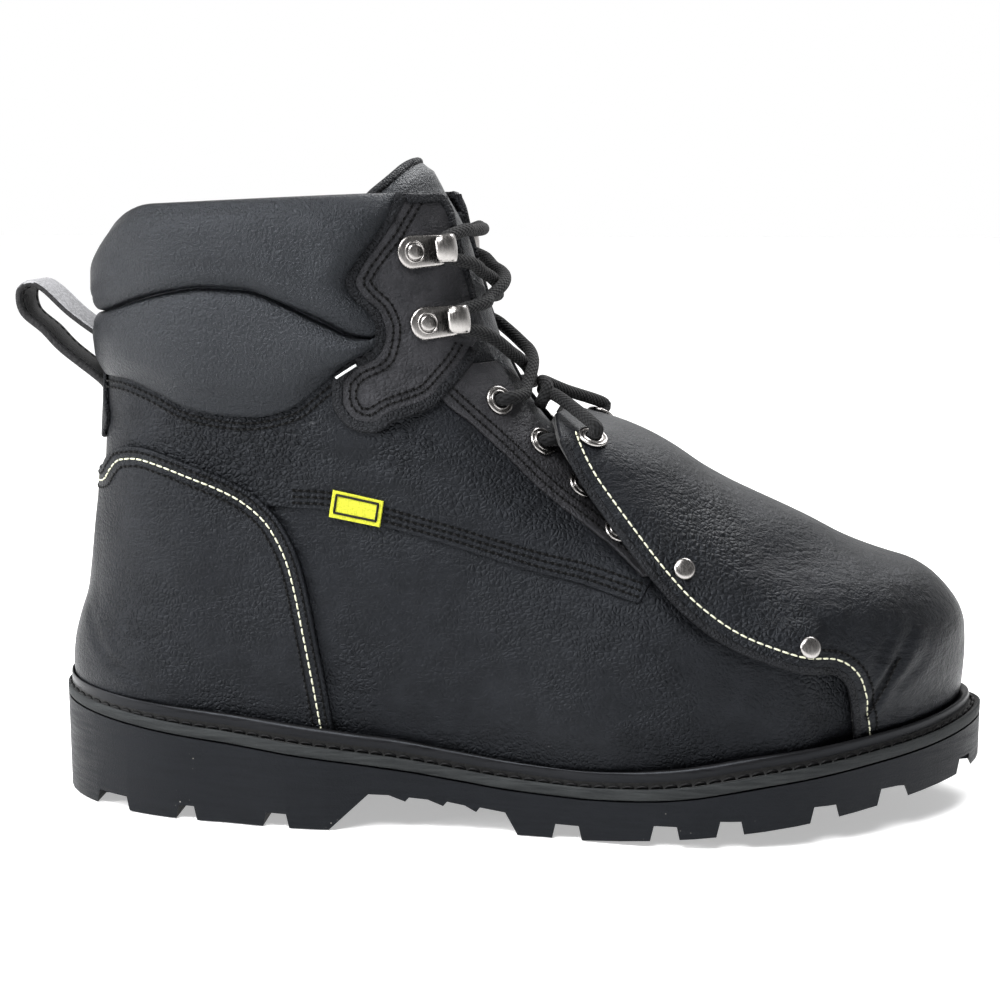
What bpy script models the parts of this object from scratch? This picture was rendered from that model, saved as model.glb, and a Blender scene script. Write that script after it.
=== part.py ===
# Metatarsal guard work boot, right foot, one boot, no lettering.
# Metres. +X points to the toe, +Z up, -Y is the outer side of the foot.
# The origin is on the floor under the middle of the heel.
import math

import bmesh
import bpy
from mathutils import Vector

for old in list(bpy.data.objects):
    bpy.data.objects.remove(old, do_unlink=True)

MM = 0.001

# Named sizes of the whole boot
SOLE_LENGTH = 0.315
BALL_WIDTH = 0.110
RIM_HEIGHT = 0.204
HEEL_CENTRE = 0.15238 * SOLE_LENGTH
SEAT_GAP = 0.3 * MM
UPPER_WALL = 2.0 * MM
TOE_STEP = 2.9 * MM
TOE_STEP_START = 0.795
TOE_STEP_END = 0.836
SOLE_BACK_X = -0.1562 * SOLE_LENGTH
SOLE_TOE_X = 0.8451 * SOLE_LENGTH
SOLE_BACK_ROUND = 0.1905 * SOLE_LENGTH
SOLE_TOE_ROUND = 0.2698 * SOLE_LENGTH
RIM_SLOPE = 0.045
RIM_SLOPE_START = 0.365
BACK_DIP = 0.1176 * RIM_HEIGHT
BACK_DIP_START = -0.019 * SOLE_LENGTH
BACK_DIP_REACH = 0.0762 * SOLE_LENGTH
LIP_ROOM_SHARE = 0.385
LIP_ROOM_REACH = 0.0508 * SOLE_LENGTH
EDGE_BAND = 3.7 * MM
TOE_SPRING = 0.01465
TOE_SPRING_START = 0.575
TOE_SPRING_POWER = 1.1

# Sole seen from above
# share of length, half width share of ball width, middle line share of ball width
SOLE_PLAN = (
    (0.00, 0.365, -0.009),
    (0.19, 0.388, -0.020),
    (0.28, 0.408, -0.038),
    (0.36, 0.388, -0.050),
    (0.455, 0.366, -0.060),
    (0.537, 0.388, -0.056),
    (0.616, 0.443, -0.043),
    (0.676, 0.482, -0.025),
    (0.73, 0.495, -0.005),
    (0.80, 0.495, 0.016),
    (0.88, 0.495, 0.055),
    (1.00, 0.495, 0.100),
)

# Top of the welt's edge: share of length, share of rim height
WELT_LINE = (
    (0.000, 0.181),
    (0.12, 0.1635),
    (0.22, 0.149),
    (0.32, 0.1319),
    (0.40, 0.1158),
    (0.4365, 0.1060),
    (0.504, 0.0915),
    (0.57, 0.0863),
    (0.625, 0.090),
    (0.68, 0.0985),
    (0.753, 0.1175),
    (0.86, 0.1365),
    (0.93, 0.1480),
    (1.000, 0.1640),
)

# Form of the upper, one row per level
# level, back x, front x, toe rounding, toe power (x as shares of length)
FORM_ENDS = (
    (0.000, 0.0143, 0.9714, 0.229, 1.80),
    (0.055, 0.0114, 0.9756, 0.222, 1.90),
    (0.110, 0.0140, 0.9765, 0.216, 2.00),
    (0.170, 0.0206, 0.9733, 0.210, 2.10),
    (0.240, 0.0300, 0.9510, 0.210, 2.10),
    (0.300, 0.0340, 0.8921, 0.222, 2.10),
    (0.360, 0.0375, 0.7900, 0.222, 2.20),
    (0.410, 0.0400, 0.6857, 0.190, 2.20),
    (0.480, 0.0440, 0.6010, 0.184, 2.20),
    (0.560, 0.0470, 0.5508, 0.184, 2.20),
    (0.650, 0.0500, 0.5063, 0.184, 2.20),
    (0.750, 0.0540, 0.4778, 0.184, 2.20),
    (0.860, 0.0575, 0.4587, 0.184, 2.20),
    (1.000, 0.0619, 0.4381, 0.184, 2.20),
)

# level, half widths at heel, waist, instep, ball, toe (shares of ball width)
FORM_WIDTHS = (
    (0.000, 0.305, 0.300, 0.300, 0.382, 0.409),
    (0.055, 0.318, 0.318, 0.327, 0.418, 0.427),
    (0.110, 0.318, 0.327, 0.345, 0.436, 0.432),
    (0.170, 0.314, 0.332, 0.355, 0.436, 0.423),
    (0.240, 0.305, 0.336, 0.359, 0.423, 0.391),
    (0.300, 0.300, 0.336, 0.359, 0.391, 0.327),
    (0.360, 0.295, 0.332, 0.355, 0.350, 0.255),
    (0.410, 0.291, 0.327, 0.345, 0.305, 0.220),
    (0.480, 0.291, 0.327, 0.341, 0.295, 0.220),
    (0.560, 0.291, 0.327, 0.341, 0.295, 0.220),
    (0.650, 0.300, 0.332, 0.341, 0.295, 0.220),
    (0.750, 0.309, 0.341, 0.345, 0.295, 0.220),
    (0.860, 0.323, 0.355, 0.355, 0.295, 0.220),
    (1.000, 0.332, 0.364, 0.355, 0.295, 0.220),
)
WIDTH_STATIONS = (0.12, 0.311, 0.454, 0.629, 0.803)
FORM_BACK_ROUND = 0.143
FORM_BACK_POWER = 2.1
SWING_FADE_LEVEL = 0.6

# Guard over the toe and the laces: level, front x, toe rounding, toe power
GUARD_ENDS = (
    (0.000, 0.9714, 0.229, 1.80),
    (0.055, 0.9756, 0.222, 1.90),
    (0.110, 0.9765, 0.216, 2.00),
    (0.170, 0.9740, 0.212, 2.10),
    (0.200, 0.9690, 0.212, 2.10),
    (0.250, 0.9505, 0.214, 2.10),
    (0.290, 0.9270, 0.220, 2.10),
    (0.313, 0.8995, 0.222, 2.15),
    (0.360, 0.8430, 0.222, 2.20),
    (0.403, 0.7990, 0.222, 2.25),
    (0.445, 0.7520, 0.222, 2.30),
    (0.498, 0.7030, 0.222, 2.30),
    (0.553, 0.6560, 0.222, 2.40),
    (0.588, 0.6130, 0.222, 2.50),
    (0.608, 0.5700, 0.222, 2.60),
    (0.620, 0.5460, 0.222, 2.60),
)

# level, half widths at ball and toe (shares of ball width)
GUARD_WIDTHS = (
    (0.000, 0.382, 0.409),
    (0.055, 0.418, 0.427),
    (0.110, 0.442, 0.434),
    (0.170, 0.466, 0.440),
    (0.250, 0.468, 0.422),
    (0.300, 0.448, 0.385),
    (0.360, 0.425, 0.340),
    (0.445, 0.405, 0.300),
    (0.553, 0.400, 0.290),
    (0.620, 0.400, 0.290),
)

# Free edge of the guard: level, x share of length
GUARD_EDGE = (
    (0.000, 0.853),
    (0.060, 0.848),
    (0.110, 0.843),
    (0.140, 0.837),
    (0.162, 0.822),
    (0.176, 0.790),
    (0.196, 0.762),
    (0.222, 0.732),
    (0.255, 0.704),
    (0.300, 0.674),
    (0.345, 0.650),
    (0.395, 0.626),
    (0.455, 0.598),
    (0.520, 0.570),
    (0.585, 0.549),
    (0.620, 0.540),
)
GUARD_TOE_THICK = 2.6 * MM
GUARD_FLAP_THICK = 4.4 * MM
GUARD_CLEAR = 0.7 * MM
GUARD_LEVELS = (
    0.004, 0.030, 0.070, 0.120, 0.150, 0.180, 0.235, 0.285, 0.335, 0.380,
    0.430, 0.480, 0.530, 0.570, 0.600, 0.620,
)
GUARD_COLUMNS = 7

# Throat opening: level, share of the half ring left open on each side
THROAT_BOTTOM = 0.425
THROAT = (
    (0.425, 0.000),
    (0.440, 0.050),
    (0.470, 0.080),
    (0.520, 0.092),
    (0.600, 0.097),
    (0.800, 0.113),
    (1.100, 0.130),
)

# Counter's edge: level, x share of length
COUNTER_EDGE = (
    (0.000, 0.3175),
    (0.100, 0.3090),
    (0.200, 0.2990),
    (0.290, 0.2890),
    (0.345, 0.2800),
    (0.390, 0.2670),
    (0.425, 0.2520),
    (0.457, 0.2290),
    (0.480, 0.2020),
    (0.500, 0.1700),
    (0.518, 0.1380),
    (0.533, 0.1080),
    (0.545, 0.0800),
)
COUNTER_LEVELS = (
    0.004, 0.030, 0.070, 0.120, 0.180, 0.235, 0.285, 0.335, 0.380,
    0.425, 0.450, 0.475, 0.497, 0.518, 0.532, 0.545,
)
COUNTER_THICK = 1.6 * MM
COUNTER_GAP = 0.4 * MM

# Collar: lower edge and groove between its lobes (x share, height share)
COLLAR_LOW = (
    (0.035, 0.707),
    (0.090, 0.707),
    (0.128, 0.690),
    (0.164, 0.665),
    (0.200, 0.654),
    (0.235, 0.652),
    (0.275, 0.667),
    (0.296, 0.691),
    (0.316, 0.716),
    (0.336, 0.738),
    (0.360, 0.760),
)
COLLAR_MID = (
    (0.035, 0.800),
    (0.075, 0.812),
    (0.120, 0.835),
    (0.160, 0.850),
    (0.190, 0.856),
    (0.232, 0.853),
    (0.272, 0.831),
    (0.311, 0.802),
    (0.345, 0.778),
    (0.370, 0.776),
)
# Front edge of the collar: height share, x share
COLLAR_FRONT = (
    (0.740, 0.349),
    (0.765, 0.355),
    (0.790, 0.359),
    (0.815, 0.352),
    (0.840, 0.335),
    (0.865, 0.327),
    (0.890, 0.335),
    (0.945, 0.360),
    (1.000, 0.378),
)
# Thickness across a lobe pair: share of height, thickness
COLLAR_SWELL = (
    (0.00, 0.7 * MM),
    (0.06, 2.2 * MM),
    (0.16, 4.2 * MM),
    (0.30, 4.9 * MM),
    (0.42, 3.6 * MM),
    (0.50, 1.8 * MM),
    (0.58, 3.9 * MM),
    (0.72, 5.6 * MM),
    (0.86, 5.6 * MM),
    (0.95, 4.4 * MM),
    (1.00, 2.4 * MM),
)
COLLAR_INSIDE = 7.0 * MM
COLLAR_DEPTH = 0.045
COLLAR_COLUMNS = 24
COLLAR_GAP = 0.55 * MM
UPPER_TOP_LEVEL = 0.963

# Facing: height share, back x share, front x share (front 0 follows the throat)
FACING_EDGE = (
    (0.645, 0.345, 0.362),
    (0.660, 0.334, 0.376),
    (0.680, 0.327, 0.412),
    (0.705, 0.327, 0.428),
    (0.735, 0.341, 0.443),
    (0.755, 0.365, 0.450),
    (0.790, 0.369, 0.0),
    (0.815, 0.364, 0.0),
    (0.840, 0.349, 0.0),
    (0.865, 0.340, 0.0),
    (0.890, 0.347, 0.0),
    (0.945, 0.371, 0.0),
    (0.995, 0.388, 0.0),
)
FACING_THICK = 1.5 * MM
TRIM_GAP = 0.6 * MM

# Eyestay: height share, back x share, front x share (front 0 follows the throat)
EYESTAY_EDGE = (
    (0.412, 0.632, 0.642),
    (0.442, 0.608, 0.642),
    (0.476, 0.578, 0.630),
    (0.512, 0.546, 0.0),
    (0.548, 0.519, 0.0),
    (0.590, 0.492, 0.0),
    (0.642, 0.456, 0.0),
    (0.688, 0.426, 0.0),
    (0.712, 0.441, 0.0),
    (0.733, 0.452, 0.0),
)
EYESTAY_THICK = 1.3 * MM

# Back stay: height share, half width share of the ball width
STAY_EDGE = (
    (0.614, 0.150),
    (0.650, 0.125),
    (0.680, 0.112),
)
STAY_THICK = 1.4 * MM

# Eyelets and hooks: x share, height share
EYELETS = ((0.479, 0.672), (0.523, 0.604), (0.565, 0.535), (0.606, 0.470))
HOOKS = ((0.405, 0.909), (0.419, 0.800))
EYELET_OUTER = 5.0 * MM
EYELET_BORE = 2.7 * MM
EYELET_THICK = 1.0 * MM
HOOK_LENGTH = 19.0 * MM
HOOK_WIDTH = 10.5 * MM
HOOK_PLATE = 1.0 * MM
LACE_RADIUS = 2.1 * MM
# Rivets of the guard: x share, height share, how far below the smooth form they sit
RIVETS = ((0.674, 0.432, 0.0), (0.799, 0.316, 1.0 * MM))
RIVET_RADIUS = 4.1 * MM
GUARD_EYELET = (0.5795, 0.622)

# Tongue: level, half width share of the half ring, thickness, lean back
TONGUE = (
    (0.400, 0.110, 4.0 * MM, 0.0),
    (0.480, 0.190, 5.0 * MM, 0.0),
    (0.600, 0.250, 6.5 * MM, 0.0),
    (0.750, 0.285, 7.5 * MM, 0.0),
    (0.900, 0.295, 8.0 * MM, 1.0 * MM),
    (0.990, 0.290, 8.0 * MM, 5.0 * MM),
    (1.060, 0.270, 7.0 * MM, 11.0 * MM),
)
TONGUE_BULGE = 1.6 * MM
TONGUE_TOP = 1.058
TONGUE_CORNER_DROP = 0.075

# Pull loop seen from the side: x share of length, height share
LOOP_PATH = (
    (0.0372, 0.780),
    (0.0150, 0.806),
    (-0.0100, 0.842),
    (-0.0250, 0.852),
    (-0.0370, 0.838),
    (-0.0340, 0.804),
    (-0.0120, 0.774),
    (0.0080, 0.742),
    (0.0500, 0.691),
)
LOOP_WIDTH = 0.018
LOOP_THICK = 2.2 * MM

LABEL_CORNERS = ((0.3175, 0.540), (0.3700, 0.524), (0.3660, 0.483), (0.3130, 0.497))
LABEL_THICK = 0.6 * MM

INSOLE_THICK = 4.0 * MM

# Underside of the sole between heel and forefoot: x share, height
SHANK_LINE = (
    (0.314, 0.0),
    (0.355, 12.2 * MM),
    (0.376, 12.0 * MM),
    (0.393, 9.9 * MM),
    (0.397, 11.3 * MM),
    (0.416, 10.7 * MM),
    (0.432, 8.6 * MM),
    (0.436, 10.1 * MM),
    (0.454, 9.0 * MM),
    (0.466, 6.9 * MM),
    (0.470, 8.5 * MM),
    (0.496, 7.3 * MM),
    (0.509, 0.0),
)
# Gaps between the side lugs: bottom start, bottom end (x shares)
LUG_GAPS = (
    (0.048, 0.094),
    (0.146, 0.173),
    (0.242, 0.274),
    (0.543, 0.577),
    (0.643, 0.676),
    (0.709, 0.740),
    (0.803, 0.836),
    (0.873, 0.910),
    (0.963, 0.985),
)
LUG_HEIGHT = 4.7 * MM
LUG_DRAFT = 1.6 * MM
LUG_DEPTH = 14.0 * MM


def spline(rows, column, x):
    """Monotone curve through one column of a table, held at both ends."""
    if x <= rows[0][0]:
        return rows[0][column]
    if x >= rows[-1][0]:
        return rows[-1][column]
    k = 0
    while x > rows[k + 1][0]:
        k += 1

    def slope(j):
        return (rows[j + 1][column] - rows[j][column]) / (rows[j + 1][0] - rows[j][0])

    def tangent(j):
        if j == 0:
            return slope(0)
        if j == len(rows) - 1:
            return slope(j - 1)
        a = slope(j - 1)
        b = slope(j)
        if a * b <= 0.0:
            return 0.0
        return 2.0 * a * b / (a + b)

    x0 = rows[k][0]
    h = rows[k + 1][0] - x0
    t = (x - x0) / h
    y0 = rows[k][column]
    y1 = rows[k + 1][column]
    m0 = tangent(k) * h
    m1 = tangent(k + 1) * h
    a = (2 * t - 3) * t * t + 1
    b = ((t - 2) * t + 1) * t
    c = (3 - 2 * t) * t * t
    d = (t - 1) * t * t
    return a * y0 + b * m0 + c * y1 + d * m1


def line(rows, column, x):
    """Straight interpolation in a table, held at both ends."""
    if x <= rows[0][0]:
        return rows[0][column]
    for a, b in zip(rows, rows[1:]):
        if x <= b[0]:
            t = (x - a[0]) / (b[0] - a[0])
            return a[column] + (b[column] - a[column]) * t
    return rows[-1][column]


def smooth_step(t):
    t = min(1.0, max(0.0, t))
    return t * t * (3 - 2 * t)


def share_x(x):
    return (x + HEEL_CENTRE) / SOLE_LENGTH


def x_at(share):
    return share * SOLE_LENGTH - HEEL_CENTRE


def welt_top(x):
    return spline(WELT_LINE, 1, share_x(x)) * RIM_HEIGHT


def feather(x):
    return welt_top(x) + SEAT_GAP


def rim(x):
    top = RIM_HEIGHT - RIM_SLOPE * max(0.0, x_at(RIM_SLOPE_START) - x)
    t = min(1.0, max(0.0, (BACK_DIP_START - x) / BACK_DIP_REACH))
    return top - BACK_DIP * (1.0 - math.sqrt(1.0 - 0.96 * t * t)) / 0.8


def spring(x):
    t = (share_x(x) - TOE_SPRING_START) / (1.0 - TOE_SPRING_START)
    if t <= 0.0:
        return 0.0
    return TOE_SPRING * t ** TOE_SPRING_POWER


def end_round(distance, reach, power):
    t = min(1.0, max(0.0, distance / reach))
    return max(0.0, 1.0 - (1.0 - t) ** power) ** (1.0 / power)


def sole_side(x):
    """Half width and middle line of the sole at x."""
    s = share_x(x)
    half = spline(SOLE_PLAN, 1, s) * BALL_WIDTH
    mid = spline(SOLE_PLAN, 2, s) * BALL_WIDTH
    half *= end_round(x - SOLE_BACK_X, SOLE_BACK_ROUND, 2.0)
    half *= end_round(SOLE_TOE_X - x, SOLE_TOE_ROUND, 1.75)
    return half, mid


def sole_x(t):
    """Station of the sole for ring share t (0 toe, 1 back)."""
    return SOLE_TOE_X - (SOLE_TOE_X - SOLE_BACK_X) * (1.0 - math.cos(math.pi * t)) / 2.0


def row_stations(values):
    return tuple(zip(WIDTH_STATIONS, values))


def swing(x, v):
    fade = max(0.0, 1.0 - v / SWING_FADE_LEVEL)
    return spline(SOLE_PLAN, 2, share_x(x)) * BALL_WIDTH * fade


def height(x, v):
    return feather(x) * (1.0 - v) + rim(x) * v


def level_at(x, z):
    low = feather(x)
    return (z - low) / (rim(x) - low)


class Form:
    """One skin of the boot: a stack of rings from the welt to the rim."""

    def __init__(self, guard=False):
        self.guard = guard
        self.memo = {}

    def row(self, v):
        key = round(v, 6)
        if key in self.memo:
            return self.memo[key]
        back = x_at(spline(FORM_ENDS, 1, v))
        front = x_at(spline(FORM_ENDS, 2, v))
        reach = spline(FORM_ENDS, 3, v) * SOLE_LENGTH
        power = spline(FORM_ENDS, 4, v)
        widths = [spline(FORM_WIDTHS, c, v) for c in range(1, 6)]
        if self.guard:
            front = x_at(spline(GUARD_ENDS, 1, v))
            reach = spline(GUARD_ENDS, 2, v) * SOLE_LENGTH
            power = spline(GUARD_ENDS, 3, v)
            widths[3] = spline(GUARD_WIDTHS, 1, v)
            widths[4] = spline(GUARD_WIDTHS, 2, v)
        data = (back, front, reach, power, row_stations(widths))
        self.memo[key] = data
        return data

    def tau(self, x, v):
        back, front = self.row(v)[:2]
        c = 1.0 - 2.0 * (front - x) / (front - back)
        return math.acos(min(1.0, max(-1.0, c))) / math.pi

    def raw(self, t, v):
        """Point at ring share t (0 front, 1 back, below 0 outer side)."""
        back, front, reach, power, widths = self.row(v)
        x = front - (front - back) * (1.0 - math.cos(math.pi * t)) / 2.0
        half = self.half_width(x, v)
        side = -1.0 if t < 0 else 1.0
        return Vector((x, swing(x, v) + side * half, height(x, v)))

    def half_width(self, x, v):
        back, front, reach, power, widths = self.row(v)
        half = spline(widths, 1, share_x(x)) * BALL_WIDTH
        half *= end_round(front - x, reach, power)
        half *= end_round(x - back, FORM_BACK_ROUND * SOLE_LENGTH, FORM_BACK_POWER)
        if self.guard and v > 0.03:
            # The guard clears the upper by its own thickness
            under = BODY.half_width(x, v)
            if under > 0.0:
                need = guard_thick(x, v) - toe_inset(x) + GUARD_CLEAR
                ease = smooth_step((v - 0.03) / 0.05) * smooth_step(under / 0.012)
                half = max(half, under + 1.12 * max(0.0, need) * ease)
        return half

    def normal(self, t, v):
        e = 0.004
        edge = min(abs(t), 1.0 - abs(t))
        if edge < 0.012:
            if abs(t) < 0.5:
                a = self.raw(-0.02, v)
                b = self.raw(0.02, v)
            else:
                a = self.raw(0.98, v)
                b = self.raw(-0.98, v)
        else:
            a = self.raw(t - e, v)
            b = self.raw(t + e, v)
        along = b - a
        up = self.raw(t, v + e) - self.raw(t, v - e)
        n = along.cross(up)
        if n.length < 1e-9:
            n = Vector((1, 0, 0))
        n.normalize()
        return n

    def point(self, t, v, off=0.0):
        p = self.raw(t, v)
        if off != 0.0:
            p = p + self.normal(t, v) * off
        return p

    def at_xz(self, x, z, side, off=0.0):
        """Point on the outer (-1) or inner (1) side at x and height z."""
        v = level_at(x, z)
        t = max(0.0015, self.tau(x, v)) * side
        return self.point(t, v, off)


BODY = Form()
GUARD = Form(guard=True)


def guard_thick(x, v):
    flap = smooth_step((x_at(0.93) - x) / 0.05) * smooth_step((v - 0.10) / 0.12)
    return GUARD_TOE_THICK + (GUARD_FLAP_THICK - GUARD_TOE_THICK) * flap


def toe_inset(x):
    a = share_x(x)
    t = (a - TOE_STEP_START) / (TOE_STEP_END - TOE_STEP_START)
    return TOE_STEP * smooth_step(t)


def upper_skin(t, v, off=0.0):
    p = BODY.raw(t, v)
    return BODY.point(t, v, off - toe_inset(p.x))


MATERIALS = {}


def material(name, colour, roughness, metallic=0.0):
    if name in MATERIALS:
        return MATERIALS[name]
    mat = bpy.data.materials.new(name)
    mat.use_nodes = True
    shader = mat.node_tree.nodes.get("Principled BSDF")
    shader.inputs["Base Color"].default_value = (colour[0], colour[1], colour[2], 1.0)
    shader.inputs["Roughness"].default_value = roughness
    shader.inputs["Metallic"].default_value = metallic
    MATERIALS[name] = mat
    return mat


LEATHER = material("black_leather", (0.018, 0.018, 0.020), 0.55)
CUFF = material("smooth_cuff", (0.030, 0.032, 0.036), 0.45)
RUBBER = material("sole_rubber", (0.022, 0.022, 0.024), 0.70)
WELTING = material("welt_edge", (0.075, 0.075, 0.075), 0.60)
FABRIC = material("lace_fabric", (0.010, 0.010, 0.011), 0.85)
BOARD = material("insole_board", (0.060, 0.058, 0.055), 0.80)
NICKEL = material("dark_nickel", (0.350, 0.350, 0.360), 0.28, 1.0)
YELLOW = material("yellow_label", (0.760, 0.740, 0.050), 0.55)


def add_object(name, verts, faces, mat, weld=0.0):
    mesh = bpy.data.meshes.new(name)
    bm = bmesh.new()
    made = [bm.verts.new(p) for p in verts]
    for f in faces:
        keys = []
        for k in f:
            if k not in keys:
                keys.append(k)
        if len(keys) >= 3:
            bm.faces.new([made[k] for k in keys])
    if weld > 0.0:
        bmesh.ops.remove_doubles(bm, verts=bm.verts, dist=weld)
        bmesh.ops.dissolve_degenerate(bm, dist=weld, edges=bm.edges)
    bmesh.ops.triangulate(bm, faces=bm.faces)
    bmesh.ops.recalc_face_normals(bm, faces=bm.faces)
    bm.to_mesh(mesh)
    bm.free()
    obj = bpy.data.objects.new(name, mesh)
    bpy.context.scene.collection.objects.link(obj)
    mesh.materials.append(mat)
    return obj


def slab(name, outer, inner, mat):
    """Closed sheet between two grids of points with the same rows."""
    rows = len(outer)
    cols = len(outer[0])
    verts = [p for r in outer for p in r] + [p for r in inner for p in r]
    shift = rows * cols

    def o(i, j):
        return i * cols + j

    def n(i, j):
        return shift + i * cols + j

    faces = []
    for i in range(rows - 1):
        for j in range(cols - 1):
            faces.append((o(i, j), o(i, j + 1), o(i + 1, j + 1), o(i + 1, j)))
            faces.append((n(i, j), n(i + 1, j), n(i + 1, j + 1), n(i, j + 1)))
    for j in range(cols - 1):
        faces.append((o(0, j), n(0, j), n(0, j + 1), o(0, j + 1)))
        last = rows - 1
        faces.append((o(last, j), o(last, j + 1), n(last, j + 1), n(last, j)))
    for i in range(rows - 1):
        faces.append((o(i, 0), o(i + 1, 0), n(i + 1, 0), n(i, 0)))
        last = cols - 1
        faces.append((o(i, last), n(i, last), n(i + 1, last), o(i + 1, last)))
    return add_object(name, verts, faces, mat, weld=0.00002)


def loops(name, rings, mat, closed):
    """Skin over closed loops of points, joined end to end or capped."""
    count = len(rings)
    n = len(rings[0])
    verts = [p for r in rings for p in r]
    faces = []
    steps = count if closed else count - 1
    for i in range(steps):
        k = (i + 1) % count
        for j in range(n):
            m = (j + 1) % n
            faces.append((i * n + j, i * n + m, k * n + m, k * n + j))
    if not closed:
        faces.append(tuple(range(n)))
        faces.append(tuple((count - 1) * n + j for j in reversed(range(n))))
    return add_object(name, verts, faces, mat, weld=0.00002)


def tube(name, path, radius, sides, mat):
    rings = []
    for i, p in enumerate(path):
        a = path[max(0, i - 1)]
        b = path[min(len(path) - 1, i + 1)]
        d = (b - a).normalized()
        ref = Vector((0, 0, 1)) if abs(d.z) < 0.8 else Vector((1, 0, 0))
        s = d.cross(ref).normalized()
        u = s.cross(d).normalized()
        ring = []
        for k in range(sides):
            w = 2 * math.pi * k / sides
            ring.append(p + (s * math.cos(w) + u * math.sin(w)) * radius)
        rings.append(ring)
    return loops(name, rings, mat, False)


def bend(points, steps):
    """Smooth path through a few points."""
    out = []
    n = len(points)
    for i in range(n - 1):
        p0 = points[max(0, i - 1)]
        p1 = points[i]
        p2 = points[i + 1]
        p3 = points[min(n - 1, i + 2)]
        for k in range(steps):
            t = k / steps
            a = p1 * 2
            b = (p2 - p0) * t
            c = (p0 * 2 - p1 * 5 + p2 * 4 - p3) * (t * t)
            d = (p1 * 3 - p0 - p2 * 3 + p3) * (t * t * t)
            out.append((a + b + c + d) * 0.5)
    out.append(points[-1].copy())
    return out


def boolean(target, cutter, operation, keep=False):
    mod = target.modifiers.new("cut_" + cutter.name, "BOOLEAN")
    mod.operation = operation
    mod.solver = "EXACT"
    mod.object = cutter
    cutter.hide_render = True
    cutter.display_type = "WIRE"


def bake(target):
    """Replace an object's mesh by what its modifiers give."""
    graph = bpy.context.evaluated_depsgraph_get()
    mesh = bpy.data.meshes.new_from_object(target.evaluated_get(graph))
    target.modifiers.clear()
    old = target.data
    target.data = mesh
    bpy.data.meshes.remove(old)


def combine(target, others, operation):
    for other in others:
        boolean(target, other, operation)
    bake(target)
    for other in others:
        bpy.data.objects.remove(other, do_unlink=True)


def smooth(obj, angle=40.0):
    for poly in obj.data.polygons:
        poly.use_smooth = True
    limit = math.radians(angle)
    bm = bmesh.new()
    bm.from_mesh(obj.data)
    for edge in bm.edges:
        if len(edge.link_faces) == 2 and edge.calc_face_angle(0.0) > limit:
            edge.smooth = False
    bm.to_mesh(obj.data)
    bm.free()


# Outsole
SOLE_STATIONS = 40


def sole_bottom(x):
    s = share_x(x)
    if s <= SHANK_LINE[0][0] or s >= SHANK_LINE[-1][0]:
        return spring(x)
    return line(SHANK_LINE, 1, s)


def outsole():
    shares = []
    for i in range(SOLE_STATIONS + 1):
        s = share_x(sole_x(1.0 - i / SOLE_STATIONS))
        near = min(abs(s - r[0]) for r in SHANK_LINE)
        if near > 0.006 and not SHANK_LINE[0][0] < s < SHANK_LINE[-1][0]:
            shares.append(s)
    shares += [r[0] for r in SHANK_LINE]
    shares.sort()
    verts = []
    for s in shares:
        x = x_at(s)
        half, mid = sole_side(x)
        if s in (shares[0], shares[-1]):
            half = 0.0
        top = welt_top(x) - EDGE_BAND - 1.8 * SEAT_GAP
        low = sole_bottom(x)
        verts.append(Vector((x, mid - half, low)))
        verts.append(Vector((x, mid + half, low)))
        verts.append(Vector((x, mid + half, top)))
        verts.append(Vector((x, mid - half, top)))
    faces = []
    for i in range(len(shares) - 1):
        a = i * 4
        b = a + 4
        for j in range(4):
            k = (j + 1) % 4
            faces.append((a + j, a + k, b + k, b + j))
    body = add_object("outsole", verts, faces, RUBBER, weld=0.00002)
    cutters = []
    for start, end in LUG_GAPS:
        x0 = x_at(start)
        x1 = x_at(end)
        for side in (-1, 1):
            xm = (x0 + x1) / 2
            half, mid = sole_side(xm)
            depth = min(LUG_DEPTH, half * 0.45)
            if share_x(xm) > 0.95:
                depth = half * 0.6
            ins = half - depth
            lift = spring(xm)
            out = BALL_WIDTH
            pts = []
            for y in (mid + side * ins, mid + side * out):
                pts.append(Vector((x0 - LUG_DRAFT * 0.2, y, lift - 0.004)))
                pts.append(Vector((x1 + LUG_DRAFT * 0.2, y, lift - 0.004)))
                pts.append(Vector((x1 - LUG_DRAFT, y, lift + LUG_HEIGHT)))
                pts.append(Vector((x0 + LUG_DRAFT, y, lift + LUG_HEIGHT)))
            sides = [(0, 1, 2, 3), (4, 5, 6, 7), (0, 1, 5, 4), (1, 2, 6, 5)]
            sides += [(2, 3, 7, 6), (3, 0, 4, 7)]
            name = "gap_%d_%d" % (len(cutters), side + 1)
            cutters.append(add_object(name, pts, sides, RUBBER))
    combine(body, cutters, "DIFFERENCE")
    # Filler that carries the insole, inside the welt
    ring_low = []
    ring_top = []
    for k in range(FILLER_POINTS):
        t = -1.0 + 2.0 * k / FILLER_POINTS
        p = BODY.point(t, 0.0, -WELT_INNER - 3 * SEAT_GAP)
        ring_low.append(Vector((p.x, p.y, welt_top(p.x) - EDGE_BAND - 0.002)))
        ring_top.append(Vector((p.x, p.y, welt_top(p.x))))
    n = FILLER_POINTS
    verts = ring_low + ring_top
    faces = []
    for k in range(n):
        m = (k + 1) % n
        faces.append((k, m, n + m, n + k))
    for k in range(n // 2):
        a = k
        b = (n - k) % n
        c = (n - k - 1) % n
        d = k + 1
        quad = []
        for q in (a, b, c, d):
            if q not in quad:
                quad.append(q)
        if len(quad) >= 3:
            faces.append(tuple(quad))
            faces.append(tuple(n + q for q in reversed(quad)))
    filler = add_object("filler", verts, faces, RUBBER, weld=0.00002)
    combine(body, [filler], "UNION")
    smooth(body, 30.0)
    return body


FILLER_POINTS = 48
WELT_INNER = 7.0 * MM
WELT_POINTS = 40
LIP_RISE = 4.6 * MM


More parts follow.
